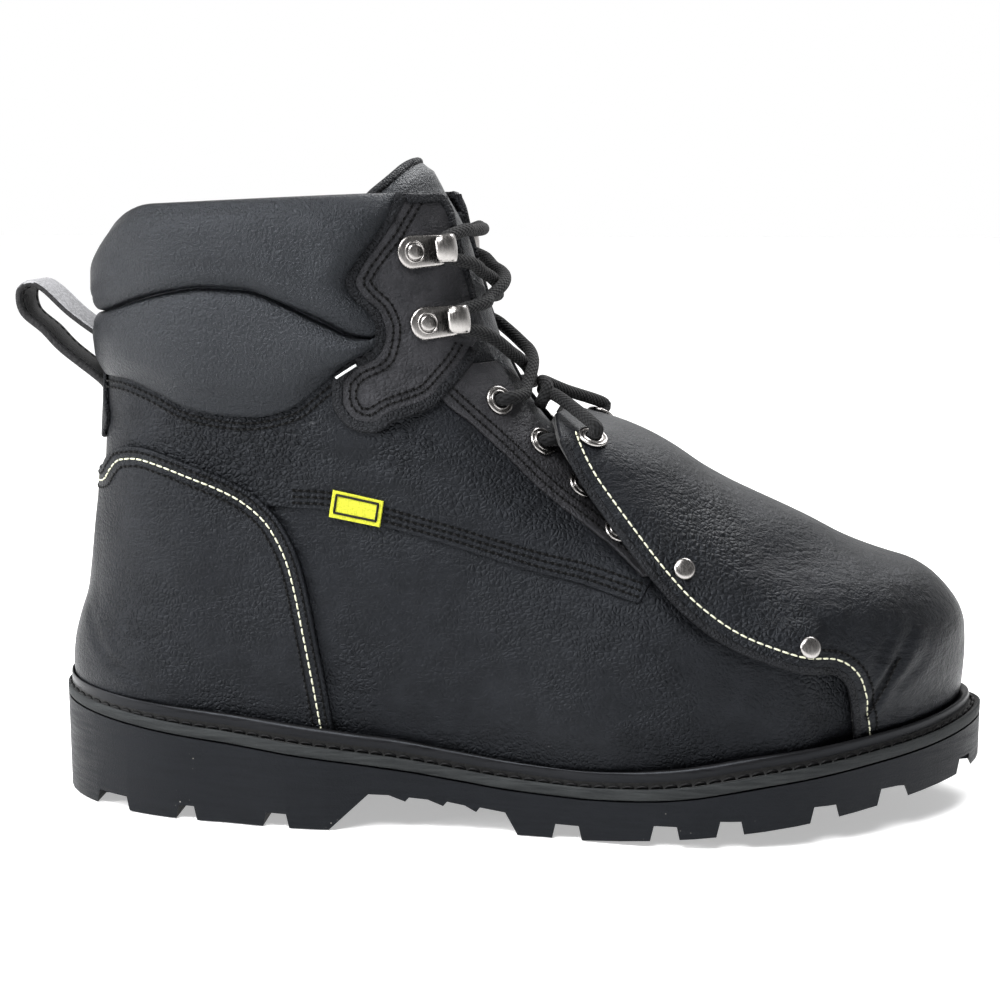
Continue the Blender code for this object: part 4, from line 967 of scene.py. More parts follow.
def sheet_piece(name, P, N, thick, mat, edge=0.0006, lift=0.0, sides="tblr", under=None):
    """Sheet with rounded edges over a grid of points and their normals."""
    rows, cols = P.shape[:2]
    b, t, l, r = lengths(P)
    d = np.full(P.shape[:2], 1.0)
    for key, dist in (("b", b), ("t", t), ("l", l), ("r", r)):
        if key in sides:
            d = np.minimum(d, dist)
    e = np.clip(edge - d, 0.0, edge)
    drop = edge - np.sqrt(np.maximum(edge * edge - e * e, 0.0))
    lift = np.asarray(lift) if np.ndim(lift) else np.full(P.shape[:2], float(lift))
    top = P + N * (lift - drop)[..., None]
    low = P + N * (lift - thick)[..., None]
    verts = np.concatenate([top.reshape(-1, 3), low.reshape(-1, 3)])
    faces = wall_faces(rows, cols)
    if under is None:
        return solid(name, verts, faces, mat)
    outer = (rows - 1) * (cols - 1)
    return solid(name, verts, faces, mat, mats=[under], slots=[0] * outer + [1] * (len(faces) - outer))


def grid_from(fn, rows, cols):
    """Points and normals from fn(row share, column share) -> (point, normal)."""
    P = np.zeros((len(rows), len(cols), 3))
    N = np.zeros_like(P)
    for i, u in enumerate(rows):
        for j, v in enumerate(cols):
            p, n = fn(u, v)
            P[i, j] = p
            N[i, j] = n
    return P, N


def grid_normals(P, outward):
    """Normals of a grid, turned to the side that outward gives."""
    du = np.gradient(P, axis=0)
    dv = np.gradient(P, axis=1)
    n = unit(np.cross(du, dv))
    turn = np.sign(np.sum(n * outward, axis=-1, keepdims=True))
    return n * np.where(turn == 0, 1.0, turn)


def wave(X, seed, size, amount):
    """Slow unevenness of a skin, the same on every run."""
    rng = np.random.default_rng(seed)
    out = np.zeros(X.shape[:-1])
    for _ in range(7):
        d = rng.normal(size=3)
        d /= np.linalg.norm(d)
        f = 2 * math.pi / (size * rng.uniform(0.6, 1.6))
        out += np.sin(X @ (d * f) + rng.uniform(0, 6.28))
    return out * amount / 7.0


def folds(X, rows):
    """Soft folds: side, start x and z, end x and z, bow, depth, width, in millimetres."""
    x = X[..., 0] * 1000.0
    y = X[..., 1]
    z = X[..., 2] * 1000.0
    out = np.zeros(X.shape[:-1])
    for side, ax, az, bx, bz, bow, depth, width in rows:
        dx = bx - ax
        dz = bz - az
        size = math.hypot(dx, dz)
        s = ((x - ax) * dx + (z - az) * dz) / (size * size)
        n = ((z - az) * dx - (x - ax) * dz) / size
        n = n - bow * 4.0 * s * (1.0 - s)
        along = np.exp(-np.clip(np.abs((s - 0.5) / 0.46), 0, 6) ** 4)
        shape = np.exp(-((n / width) ** 2)) - 0.45 * np.exp(-(((np.abs(n) - 1.9 * width) / width) ** 2))
        mask = 1.0
        if side == -1:
            mask = np.clip((0.004 - y) / 0.008, 0.0, 1.0)
        if side == 1:
            mask = np.clip((y + 0.004) / 0.008, 0.0, 1.0)
        out -= depth * 0.001 * along * shape * mask
    return out


def near_line(X, rows):
    """Height above (over 0) or below a line of x and z in millimetres, in metres."""
    x = X[..., 0] * 1000.0
    z = X[..., 2] * 1000.0
    keys = np.array([r[0] for r in rows])
    vals = np.array([r[1] for r in rows])
    return (z - np.interp(x, keys, vals)) * 0.001


def between(points, i, t):
    """Point at share t from points[i] to the next one, on a smooth curve through all."""
    n = len(points)
    p0, p1, p2, p3 = points[max(0, i - 1)], points[i], points[i + 1], points[min(n - 1, i + 2)]
    return 0.5 * (2 * p1 + (p2 - p0) * t + (2 * p0 - 5 * p1 + 4 * p2 - p3) * t * t
                  + (3 * p1 - p0 - 3 * p2 + p3) * t ** 3)


def soften(path, step):
    """Smooth path of x, z through a few points, at an even step in millimetres."""
    pts = np.array(path, float)
    out = []
    for i in range(len(pts) - 1):
        out += [between(pts, i, t) for t in np.linspace(0, 1, 13)[:-1]]
    out.append(pts[-1])
    out = np.array(out)
    run = np.concatenate([[0.0], np.cumsum(np.linalg.norm(np.diff(out, axis=0), axis=1))])
    count = max(2, int(round(run[-1] / step)))
    at = np.linspace(0, run[-1], count + 1)
    return np.stack([np.interp(at, run, out[:, k]) for k in range(out.shape[1])], 1)


def in_mm(x, z):
    return x * 1000.0, z * 1000.0


def spread(rows, count):
    """Unit vectors of a few rows, spread evenly over more points."""
    at = np.linspace(0, 1, count)
    keys = np.linspace(0, 1, len(rows))
    return unit(np.stack([np.interp(at, keys, rows[:, k]) for k in range(3)], 1))


def shifted(path, aside):
    """A path of x, z moved sideways, left of its run for a value over 0."""
    d = np.gradient(path, axis=0)
    n = np.stack([-d[:, 1], d[:, 0]], 1)
    n /= np.maximum(np.linalg.norm(n, axis=1, keepdims=True), 1e-9)
    return path + n * aside


def on_skin(form, path, side, off):
    """Points and normals where a path of x, z (millimetres) lies on a form."""
    P = []
    N = []
    for x, z in path:
        v = level_at(x * MM, z * MM)
        t = max(0.0015, form.tau(x * MM, v)) * side
        N.append(form.normal(t, v))
        P.append(form.point(t, v, off))
    return np.array(P), np.array(N)


def stitch_row(name, P, N, mat, radius=0.00033, fill=0.72, sides=6, sink=0.15):
    """One row of stitches: a short round thread between each two points."""
    verts = []
    faces = []
    profile = ((-0.5, 0.0, -1.5), (-0.46, 0.75, -0.5), (-0.30, 1.0, 0.1), (0.0, 1.05, 0.4),
               (0.30, 1.0, 0.1), (0.46, 0.75, -0.5), (0.5, 0.0, -1.5))
    for a, b, n in zip(P[:-1], P[1:], N):
        d = (b - a) * fill
        mid = (a + b) / 2
        n = unit(n)
        s = unit(np.cross(d, n))
        base = len(verts)
        for along, size, high in profile:
            for k in range(sides):
                w = 2 * math.pi * k / sides
                verts.append(mid + d * along + (s * math.cos(w) + n * math.sin(w)) * radius * max(size, 0.05)
                             + n * radius * (high - sink))
        for i in range(len(profile) - 1):
            for k in range(sides):
                m = (k + 1) % sides
                q = base + i * sides
                faces.append((q + k, q + m, q + sides + m, q + sides + k))
    return solid(name, verts, faces, mat)


def dots(name, P, N, mat, radius=0.00045, tall=0.00005):
    """Flat near-black discs on the needle holes: painted shade inside the holes."""
    verts = []
    faces = []
    for p, n in zip(P, N):
        n = unit(n)
        s = unit(np.cross(n, np.array([0.3, 0.2, 1.0])))
        u = np.cross(n, s)
        base = len(verts)
        for k in range(7):
            w = 2 * math.pi * k / 7
            verts.append(p + (s * math.cos(w) + u * math.sin(w)) * radius + n * tall)
        faces.append(tuple(base + k for k in range(7)))
    verts = np.array(verts)
    mesh = solid(name, verts, [], mat)
    data = mesh.data
    data.clear_geometry()
    data.from_pydata([tuple(v) for v in verts], [], faces)
    data.update()
    return mesh


def rope(name, path, radius, mat, sides=14, flat=1.0, up=None, closed=False):
    """Round or flat cord along a path, with a map in metres along and once round."""
    path = np.asarray(path, float)
    if closed:
        tangent = unit(np.roll(path, -1, 0) - np.roll(path, 1, 0))
    else:
        tangent = unit(np.gradient(path, axis=0))
    ref = np.array(up if up is not None else (0.0, 0.0, 1.0), float)
    side = np.cross(tangent[0], ref)
    if np.linalg.norm(side) < 0.2:
        side = np.cross(tangent[0], np.array([1.0, 0.0, 0.0]))
    side = unit(side)
    verts = []
    uv = []
    run = 0.0
    radius = np.full(len(path), radius) if np.ndim(radius) == 0 else np.asarray(radius)
    for i, p in enumerate(path):
        side = unit(side - tangent[i] * np.dot(side, tangent[i]))
        lift = np.cross(side, tangent[i])
        if i:
            run += np.linalg.norm(p - path[i - 1])
        for k in range(sides + 1):
            w = 2 * math.pi * k / sides
            verts.append(p + side * math.cos(w) * radius[i] + lift * math.sin(w) * radius[i] * flat)
            uv.append((run, k / sides))
    n = sides + 1
    rows = len(path)
    faces = list(quads(rows, n))
    if closed:
        q = (rows - 1) * n
        faces += [(q + k, q + k + 1, k + 1, k) for k in range(sides)]
    else:
        faces.append(tuple(reversed(range(sides))))
        faces.append(tuple((rows - 1) * n + k for k in range(sides)))
    return solid(name, verts, faces, mat, uv=uv)


def ribbon(name, P, N, half, tall, mat, sink=0.0004):
    """Low rounded strip that lies on a skin along a path."""
    along = unit(np.gradient(P, axis=0))
    N = unit(N)
    side = unit(np.cross(N, along))
    verts = []
    shares = np.linspace(-1.0, 1.0, 11)
    for p, n, s in zip(P, N, side):
        for u in shares:
            verts.append(p + s * (u * half) + n * (tall * math.sqrt(max(0.0, 1.0 - u ** 4))))
        verts.append(p + s * half - n * sink)
        verts.append(p - s * half - n * sink)
    m = len(shares) + 2
    faces = [tuple(f) for f in quads(len(P), m, wrap=True)]
    faces += [tuple(reversed(range(m))), tuple((len(P) - 1) * m + k for k in range(m))]
    return solid(name, verts, faces, mat)


def curve3(points, step=0.0012):
    """Smooth path in space through a few points at an even step."""
    pts = [np.array(p, float) for p in points]
    return soften(pts, step)


# Shell of the upper

SEAM = ((20.0, 104.6), (38.9, 103.7), (52.5, 103.0), (67.8, 98.8), (88.1, 93.7), (103.1, 89.4),
        (118.9, 84.9), (132.0, 81.9), (149.2, 76.7))
SEAM_CORNER = ((151.0, 77.6), (152.6, 80.6), (155.0, 84.2))

UPPER_FOLDS = (
    # flex folds of the vamp under the guard's edge
    (0, 150.0, 66.0, 172.0, 46.0, 3.0, 0.55, 3.2),
    (0, 140.0, 60.0, 158.0, 42.0, -2.0, 0.40, 3.0),
    (0, 163.0, 62.0, 196.0, 46.0, 2.0, 0.50, 3.4),
    (0, 175.0, 58.0, 205.0, 40.0, -3.0, 0.40, 2.6),
    (-1, 120.0, 72.0, 146.0, 60.0, 2.0, 0.30, 3.0),
    # ankle folds between counter and eyestay
    (0, 30.0, 128.0, 70.0, 118.0, -3.0, 0.55, 3.4),
    (0, 44.0, 122.0, 92.0, 112.0, 3.0, 0.45, 3.0),
    (0, 56.0, 134.0, 90.0, 124.0, 2.0, 0.50, 2.8),
    (0, 68.0, 128.0, 104.0, 104.0, -3.0, 0.40, 3.0),
    (0, 0.0, 132.0, 30.0, 118.0, 2.0, 0.35, 3.0),
    # creases at the foot of the heel
    (0, -34.0, 57.0, -14.0, 45.0, -1.0, 0.50, 1.6),
    (0, -30.0, 48.0, -8.0, 41.0, 1.0, 0.40, 1.5),
    # slackness above the welt
    (0, 20.0, 52.0, 62.0, 44.0, 2.0, 0.30, 4.0),
    (0, 74.0, 58.0, 116.0, 48.0, -2.0, 0.28, 4.0),
    (0, 112.0, 66.0, 134.0, 50.0, -3.0, 0.34, 3.2),
    (0, 124.0, 52.0, 152.0, 38.0, 3.0, 0.30, 3.0),
    (0, 186.0, 52.0, 212.0, 42.0, 2.0, 0.34, 2.4),
    (0, 156.0, 44.0, 186.0, 34.0, -2.0, 0.30, 3.0),
)


def upper_relief(P):
    return folds(P, UPPER_FOLDS) + wave(P, 3, 0.045, 0.0004)


def upper_shell():
    rows = 96
    half = 150
    P = np.zeros((rows, 2 * half + 1, 3))
    N = np.zeros_like(P)
    for i in range(rows):
        v = UPPER_TOP_LEVEL * i / (rows - 1)
        if abs(v - THROAT_BOTTOM) < 0.005:
            v = THROAT_BOTTOM
        gate = throat_share(v)
        for j in range(2 * half + 1):
            a = -1.0 + j / half
            s = gate + (1.0 - gate) * (1.0 - abs(a))
            t = -s if a < 0 else s
            if j == half:
                t = 1.0
            P[i, j] = upper_skin(t, v)
            N[i, j] = BODY.normal(t, v)
    out = upper_relief(P)
    # the vamp lies a leather's thickness under the quarter
    for side in (-1, 1):
        d = near_line(P, SEAM)
        under = np.clip(-d / 0.012, 0, 1)
        here = (d < 0.0004) * (1 - under) ** 2 * ((P[..., 1] * side) > 0)
        here = here * (P[..., 0] > 0.03) * (P[..., 0] < 0.152)
        out -= 0.00055 * here
    calm = np.clip((P[..., 0] - 0.150) / 0.03, 0, 1)
    out = out * (1 - calm * 0.6)
    return P, N, out


def throat_share(v):
    return spline(THROAT, 1, v)


P, N, out = upper_shell()
rows, cols = P.shape[:2]
verts = np.concatenate([(P + N * out[..., None]).reshape(-1, 3), (P - N * UPPER_WALL).reshape(-1, 3)])
start = int(np.argmax([throat_share(UPPER_TOP_LEVEL * i / (rows - 1)) > 0.0 for i in range(rows)])) - 1
faces = wall_faces(rows, cols, start)
count = (rows - 1) * (cols - 1)
slots = [0] * count + [1] * count + [0] * (len(faces) - 2 * count)
shell = solid("upper_shell", verts, faces, HIDE, mats=[LINING], slots=slots)
keep(shell, "leather", "upper")


# Quarter panels over the vamp


def ruled(form, side, low, high, rows, cols, off):
    """Grid on a form between a lower and an upper path of x, z in millimetres."""
    a = soften(low, 1.0)
    b = soften(high, 1.0)
    ia = np.linspace(0, len(a) - 1, 400)
    ib = np.linspace(0, len(b) - 1, 400)
    a = np.stack([np.interp(ia, np.arange(len(a)), a[:, k]) for k in (0, 1)], 1)
    b = np.stack([np.interp(ib, np.arange(len(b)), b[:, k]) for k in (0, 1)], 1)
    P = np.zeros((len(rows), len(cols), 3))
    N = np.zeros_like(P)
    for j, c in enumerate(cols):
        k = c * 399
        pa = np.array([np.interp(k, np.arange(400), a[:, q]) for q in (0, 1)])
        pb = np.array([np.interp(k, np.arange(400), b[:, q]) for q in (0, 1)])
        for i, r in enumerate(rows):
            x, z = pa * (1 - r) + pb * r
            v = level_at(x * MM, z * MM)
            t = max(0.0015, form.tau(x * MM, v)) * side
            n = form.normal(t, v)
            P[i, j] = form.point(t, v, off)
            N[i, j] = n
    return P, N


QUARTER_TOP = ((-8.0, 147.0), (20.0, 140.0), (50.0, 150.0), (78.0, 150.0), (96.0, 132.0), (116.0, 112.0),
               (140.0, 94.0), (157.0, 86.0))
for tag, side in SIDES:
    low = ((0.0, 104.5),) + SEAM + SEAM_CORNER
    P, N = ruled(BODY, side, low, QUARTER_TOP,
                 edge_steps(34, 0.0006, 0.045), edge_steps(90, 0.0006, 0.17), 0.0)
    out = upper_relief(P)
    piece = sheet_piece("quarter_" + tag, P, N, 0.0010, HIDE, 0.0005, out + 0.00055, "br")
    keep(piece, "leather")


def round_back(a, s):
    """Ring share s on the side of a, and exactly the back in the middle."""
    if abs(a) < 1e-9:
        return 1.0
    return -s if a < 0 else s


# Heel counter

COUNTER_FOLDS = (
    (0, -34.0, 57.0, -14.0, 45.0, -1.0, 0.50, 1.5),
    (0, -31.0, 50.0, -8.0, 41.5, 1.0, 0.45, 1.4),
    (0, -36.0, 66.0, -26.0, 52.0, -1.0, 0.35, 1.6),
    (0, -20.0, 62.0, 10.0, 52.0, 2.0, 0.25, 4.0),
    (0, 14.0, 48.0, 44.0, 42.0, -2.0, 0.22, 3.5),
)


def counter_grid():
    lo = COUNTER_LEVELS[0]
    hi = COUNTER_LEVELS[-1]
    cols = edge_steps(110, 0.0008, 0.19)

    def at(u, c):
        v = lo + (hi - lo) * u
        t0 = BODY.tau(x_at(spline(COUNTER_EDGE, 1, v)), v)
        a = -1.0 + 2.0 * c
        t = round_back(a, 1.0 - (1.0 - t0) * abs(a))
        return BODY.point(t, v, COUNTER_GAP + COUNTER_THICK), BODY.normal(t, v)

    rows = [1.0 - (1.0 - k / 56.0) ** 1.35 for k in range(53)]
    rows += [0.9830, 0.9880, 0.9925, 0.9960, 0.9985, 1.0]
    rows = sorted(set(rows))
    return grid_from(at, rows, cols)


def counter_relief(P):
    return wave(P, 5, 0.04, 0.00035) + folds(P, COUNTER_FOLDS)


P, N = counter_grid()
out = counter_relief(P)
counter = sheet_piece("counter_skin", P, N, COUNTER_THICK, HIDE, 0.0008, out, "tlr")
keep(counter, "leather", "heel_counter")


# Back stay under the collar


def stay_grid():
    z0 = 0.600
    z1 = 0.740

    def at(u, c):
        z = (z0 + (z1 - z0) * u) * RIM_HEIGHT
        v = level_at(-0.034, z)
        half = spline(STAY_EDGE, 1, z / RIM_HEIGHT) * BALL_WIDTH
        lo = 0.5
        hi = 1.0
        for _ in range(24):
            m = (lo + hi) / 2
            if abs(BODY.raw(m, v).y - swing(-0.03, v)) > half:
                lo = m
            else:
                hi = m
        a = -1.0 + 2.0 * c
        t = round_back(a, 1.0 - (1.0 - lo) * abs(a))
        return BODY.point(t, v, SEAT_GAP + STAY_THICK), BODY.normal(t, v)

    return grid_from(at, edge_steps(14, 0.0006, 0.028), edge_steps(24, 0.0006, 0.03))


P, N = stay_grid()
stay = sheet_piece("stay_skin", P, N, STAY_THICK, HIDE_FINE, 0.0006)
keep(stay, "leather", "back_stay")


# Collar


def collar_place(a, back, share, off, drop=0.0):
    side = -1.0 if a < 0 else 1.0
    x = 0.0
    v = 0.8
    t = 1.0
    for _ in range(6):
        s = share_x(x)
        low = spline(COLLAR_LOW, 1, s) * RIM_HEIGHT
        mid = max(spline(COLLAR_MID, 1, s) * RIM_HEIGHT, low + 0.004)
        top = rim(x) - 0.0025
        if share < 0.5:
            z = low + (mid - low) * share / 0.5
        else:
            z = mid + (top - mid) * (share - 0.5) / 0.5
        z -= drop
        v = level_at(x, z)
        edge = x_at(spline(COLLAR_FRONT, 1, z / RIM_HEIGHT)) + 0.0022 * smooth_step((abs(a) - 0.75) / 0.2)
        t0 = BODY.tau(edge, v)
        t = t0 + (1.0 - t0) * (1.0 - abs(a))
        if back:
            t = 1.0
        x = BODY.raw(t, v).x
    return np.array(BODY.point(side * t if not back else 1.0, v, off))


GROOVE = 0.0019


def collar_swell(share):
    """Thickness of the padding: full lobes that meet in a thin sewn groove."""
    base = spline(COLLAR_SWELL, 1, share)
    u = abs(share - 0.5)
    if u < 0.14:
        full = spline(COLLAR_SWELL, 1, 0.5 + math.copysign(0.14, share - 0.5))
        base = 1.9 * MM + (full - 1.9 * MM) * (1.0 - (1.0 - u / 0.14) ** 2.2) ** 0.75
    base -= GROOVE * math.exp(-((u / 0.011) ** 2))
    return max(base, 0.0003)


def collar_piece():
    count = 128
    rings = []
    near = [0.0, 0.004, 0.008, 0.012, 0.017, 0.024, 0.034, 0.048, 0.066, 0.09, 0.12]
    shares = np.concatenate([np.linspace(0, 0.06, 5)[:-1], np.linspace(0.06, 0.36, 12)[:-1],
                             [0.5 - k for k in near[:0:-1]], [0.5 + k for k in near],
                             np.linspace(0.64, 0.94, 13)[:-1], np.linspace(0.94, 1.0, 5)])
    for i in range(count + 1):
        a = -1.0 + 2.0 * i / count
        a = math.copysign(1.0 - (1.0 - abs(a)) ** 1.4, a)
        back = i == count // 2
        # the padding rolls down to nothing where it tucks under the facing's binding
        near = min(1.0, (1.0 - abs(a)) / 0.085)
        roll_off = 0.12 + 0.88 * (1.0 - (1.0 - near) ** 2.2) ** 0.6
        ring = [collar_place(a, back, s, COLLAR_GAP + collar_swell(s) * roll_off) for s in shares]
        ends = smooth_step((1.0 - abs(a)) / 0.24)
        inside = 1.2 * MM + (COLLAR_INSIDE - 1.2 * MM) * ends
        roll = [
            ring[-1],
            collar_place(a, back, 1.0, 0.0004) + np.array([0, 0, 0.0024]),
            collar_place(a, back, 1.0, -UPPER_WALL - inside * 0.6) + np.array([0, 0, 0.0012]),
            collar_place(a, back, 1.0, -UPPER_WALL - inside * 0.95, 0.006),
            collar_place(a, back, 1.0, -UPPER_WALL - inside, 0.018),
            collar_place(a, back, 1.0, -UPPER_WALL - inside * 0.85, 0.032),
            collar_place(a, back, 1.0, -UPPER_WALL - COLLAR_GAP - 0.0007, COLLAR_DEPTH),
        ]
        ring = ring[:-1] + smooth_roll(roll)
        # the padding's hidden side, over the rim and down the upper
        for drop in (0.020, 0.0030):
            ring.append(collar_place(a, back, 1.0, -UPPER_WALL - COLLAR_GAP, drop))
        for share, drop in ((1.0, 0.0030), (0.6, 0.0), (0.3, 0.0), (0.0, 0.0)):
            ring.append(collar_place(a, back, share, COLLAR_GAP, drop))
        rings.append(ring)
    return np.array(rings), len(shares)


def smooth_roll(points):
    """The same run of points with four more between each two."""
    out = []
    for i in range(len(points) - 1):
        out += [between(points, i, k / 5) for k in range(5)]
    return out + [points[-1]]


R, outer_count = collar_piece()
n = R.shape[1]
skin = R[:, :outer_count]
axis = np.stack([np.full(skin.shape[:2], 0.022), np.zeros(skin.shape[:2]), skin[..., 2]], -1)
N = grid_normals(skin, skin - axis)
COLLAR_FOLDS = (
    (0, 30.0, 200.0, 50.0, 176.0, 2.0, 0.9, 7.0),
    (0, -30.0, 190.0, -12.0, 182.0, 1.0, 0.4, 5.0),
    (0, 40.0, 166.0, 60.0, 158.0, 1.0, 0.45, 3.0),
    (0, -36.0, 156.0, -22.0, 150.0, -1.0, 0.35, 3.5),
)
fade = np.minimum(np.arange(outer_count), np.arange(outer_count)[::-1]) / 5.0
fade = np.clip(fade, 0, 1)[None, :]
skin = skin + N * ((folds(skin, COLLAR_FOLDS) + wave(skin, 9, 0.07, 0.0005)) * fade)[..., None]
R[:, :outer_count] = skin
faces = quads(R.shape[0], n, wrap=True)
ends = [tuple(range(n)), tuple((R.shape[0] - 1) * n + k for k in reversed(range(n)))]
verts = R.reshape(-1, 3)
mesh_faces = [tuple(f) for f in faces] + ends
collar_obj = solid("collar_pad", verts, mesh_faces, CUFF)
keep(collar_obj, "cuff", "collar")


# Facings and eyestays


def band_grid(rows, side, thick, count, cols, length, reach=0.0006):
    keys = [r[0] for r in rows]

    def at(u, c):
        zs = keys[0] + (keys[-1] - keys[0]) * u
        z = zs * RIM_HEIGHT
        xb = x_at(spline(rows, 1, zs))
        vb = level_at(xb, z)
        tb = BODY.tau(xb, vb)
        share = 0.0
        gate = throat_share(vb) + 0.004
        for q in range(len(rows) - 1):
            if rows[q][0] <= zs <= rows[q + 1][0]:
                a, b = rows[q], rows[q + 1]
                w = (zs - a[0]) / (b[0] - a[0])

                def front(r):
                    if r[2] <= 0.0:
                        return gate
                    xf = x_at(r[2])
                    return BODY.tau(xf, level_at(xf, r[0] * RIM_HEIGHT))

                share = front(a) * (1 - w) + front(b) * w
                break
        else:
            share = gate
        s = tb + (share - tb) * c
        x = BODY.raw(s, vb).x
        v = level_at(x, z)
        return BODY.point(side * s, v, TRIM_GAP + thick), BODY.normal(side * s, v)

    return grid_from(at, edge_steps(count, reach, length), edge_steps(cols, reach, 0.02))


def facing_edge_path():
    """Edge of the facing from the rim down its back, round the corner and up its front."""
    path = []
    for k in range(90):
        zs = 0.993 + (0.648 - 0.993) * k / 89
        x = x_at(spline(FACING_EDGE, 1, zs))
        path.append(in_mm(x, zs * RIM_HEIGHT))
    front = [(r[2], r[0]) for r in FACING_EDGE if r[2] > 0.0]
    for xs, zs in front:
        path.append(in_mm(x_at(xs), zs * RIM_HEIGHT))
    return path


FACING_FOLDS = (
    (0, 58.0, 170.0, 76.0, 164.0, 1.0, 0.40, 1.8),
    (0, 64.0, 184.0, 74.0, 170.0, -1.0, 0.35, 1.6),
    (0, 70.0, 158.0, 92.0, 164.0, 1.5, 0.40, 1.8),
    (0, 62.0, 152.0, 80.0, 146.0, -1.0, 0.35, 1.8),
    (0, 62.0, 200.0, 78.0, 193.0, 1.0, 0.35, 1.8),
    (0, 60.0, 190.0, 84.0, 176.0, 2.0, 0.35, 2.6),
    (0, 66.0, 178.0, 92.0, 170.0, -1.0, 0.30, 2.4),
    (0, 66.0, 160.0, 86.0, 150.0, 1.0, 0.30, 2.4),
)


def facing_relief(P):
    return wave(P, 12, 0.02, 0.0004) + folds(P, FACING_FOLDS)


def eyestay_relief(P):
    return wave(P, 14, 0.03, 0.0003)


def front_binding(side):
    """The binding goes on over the facing's top and down its front edge."""
    z = 0.990 * RIM_HEIGHT
    x0 = x_at(spline(FACING_EDGE, 1, 0.990)) + 0.0006
    marks_ = []
    v = level_at(x0, z)
    last = BODY.raw(throat_share(v) + 0.030, v)
    for k in range(5):
        marks_.append((x0 + (last.x - x0) * k / 4, z, None))
    for zs in (0.972, 0.950, 0.925, 0.900, 0.875, 0.850, 0.825):
        marks_.append((None, zs * RIM_HEIGHT, throat_share(zs) + 0.014))
    P_ = []
    N_ = []
    for x, z, t in marks_:
        if x is None:
            x = last.x
            for _ in range(4):
                v = level_at(x, z)
                x = BODY.raw(throat_share(v) + 0.014, v).x
            t = throat_share(v) + 0.014
        else:
            v = level_at(x, z)
            t = BODY.tau(x, v)
        P_.append(np.array(BODY.point(t * side, v, TRIM_GAP + FACING_THICK * 0.75)))
        N_.append(np.array(BODY.normal(t * side, v)))
    path_ = curve3(P_, 0.0012)
    return path_, spread(np.array(N_), len(path_))


for tag, side in SIDES:
    P, N = band_grid(FACING_EDGE, side, FACING_THICK, 84, 26, 0.085)
    out = facing_relief(P)
    piece = sheet_piece("facing_skin_" + tag, P, N, FACING_THICK, HIDE_SOFT, 0.0006, out)
    keep(piece, "leather", "facing_" + tag)
    P, N = band_grid(EYESTAY_EDGE, side, EYESTAY_THICK, 70, 18, 0.075)
    out = eyestay_relief(P)
    piece = sheet_piece("eyestay_skin_" + tag, P, N, EYESTAY_THICK, HIDE_SOFT, 0.0005, out)
    keep(piece, "leather", "eyestay_" + tag)
    # bound edge of the facing: a soft strip that also closes the gap to the collar
    edge = soften(shifted(soften(facing_edge_path(), 1.2), -0.9), 1.2)
    E, EN = on_skin(BODY, edge, side, TRIM_GAP + FACING_THICK * 0.6)
    keep(ribbon("facing_bind_" + tag, E, EN, 0.00200, 0.00115, HIDE_FINE, 0.0012), "leather")
    E, EN = front_binding(side)
    keep(ribbon("facing_hem_" + tag, E, EN, 0.0017, 0.0010, HIDE_FINE, 0.0014), "leather")


# Guard over the instep

GUARD_FOLDS = (
    (0, 208.0, 92.0, 238.0, 74.0, 3.0, 0.35, 4.0),
    (0, 176.0, 110.0, 214.0, 84.0, -5.0, 0.40, 5.0),
    (0, 150.0, 112.0, 196.0, 84.0, 4.0, 0.40, 5.0),
    # crease and stitched dart behind the toe
    (0, 222.0, 36.0, 234.5, 60.0, 1.2, 1.00, 1.6),
    (0, 230.0, 50.0, 239.0, 69.0, 1.0, 0.60, 1.8),
    (0, 229.0, 46.0, 244.0, 60.0, -1.0, 0.40, 1.8),
    (0, 224.0, 50.0, 229.0, 66.0, 1.0, 0.45, 1.6),
)


def guard_grid(rows, cols):
    lo = GUARD_LEVELS[0]
    hi = GUARD_LEVELS[-1]

    def at(u, c):
        v = lo + (hi - lo) * u
        t0 = GUARD.tau(x_at(spline(GUARD_EDGE, 1, v)), v)
        t = t0 * (-1.0 + 2.0 * c)
        return GUARD.raw(t, v), GUARD.normal(t, v)

    return grid_from(at, rows, cols)


def guard_relief(P):
    return wave(P, 21, 0.05, 0.0007) + folds(P, GUARD_FOLDS)


P, N = guard_grid(edge_steps(100, 0.0008, 0.16), edge_steps(130, 0.0008, 0.16))
thick = np.zeros(P.shape[:2])
for i in range(P.shape[0]):
    v = GUARD_LEVELS[0] + (GUARD_LEVELS[-1] - GUARD_LEVELS[0]) * i / (P.shape[0] - 1)
    for j in range(P.shape[1]):
        thick[i, j] = guard_thick(P[i, j, 0], v)
out = guard_relief(P)
top_skin = sheet_piece("guard_skin", P, N, 0.0019, HIDE_GUARD, 0.0009, out, "tlr", under=SUEDE)
keep(top_skin, "leather", "met_guard")
verts_top = P + N * (out * 0.6 - 0.0020)[..., None]
verts_low = P - N * thick[..., None]


def backing_piece():
    rows_, cols_ = P.shape[:2]
    t, l, r = lengths(P)[1:]
    d = np.minimum(np.minimum(l, r), t)
    pull = np.clip(0.0012 - d, 0.0, 0.0012) / 0.0012
    # the backing stops a little short of the top leather's edge
    drift = np.zeros_like(P)
    drift[:, : cols_ // 2] = unit(np.roll(P, -6, axis=1) - P)[:, : cols_ // 2]
    drift[:, cols_ // 2:] = unit(np.roll(P, 6, axis=1) - P)[:, cols_ // 2:]
    shift = drift * (pull * 0.0005)[..., None]
    a = (verts_top + shift).reshape(-1, 3)
    c = (verts_low + shift).reshape(-1, 3)
    return solid("guard_backing", np.concatenate([a, c]), wall_faces(rows_, cols_), SUEDE)


keep(backing_piece(), "leather")


# Tongue


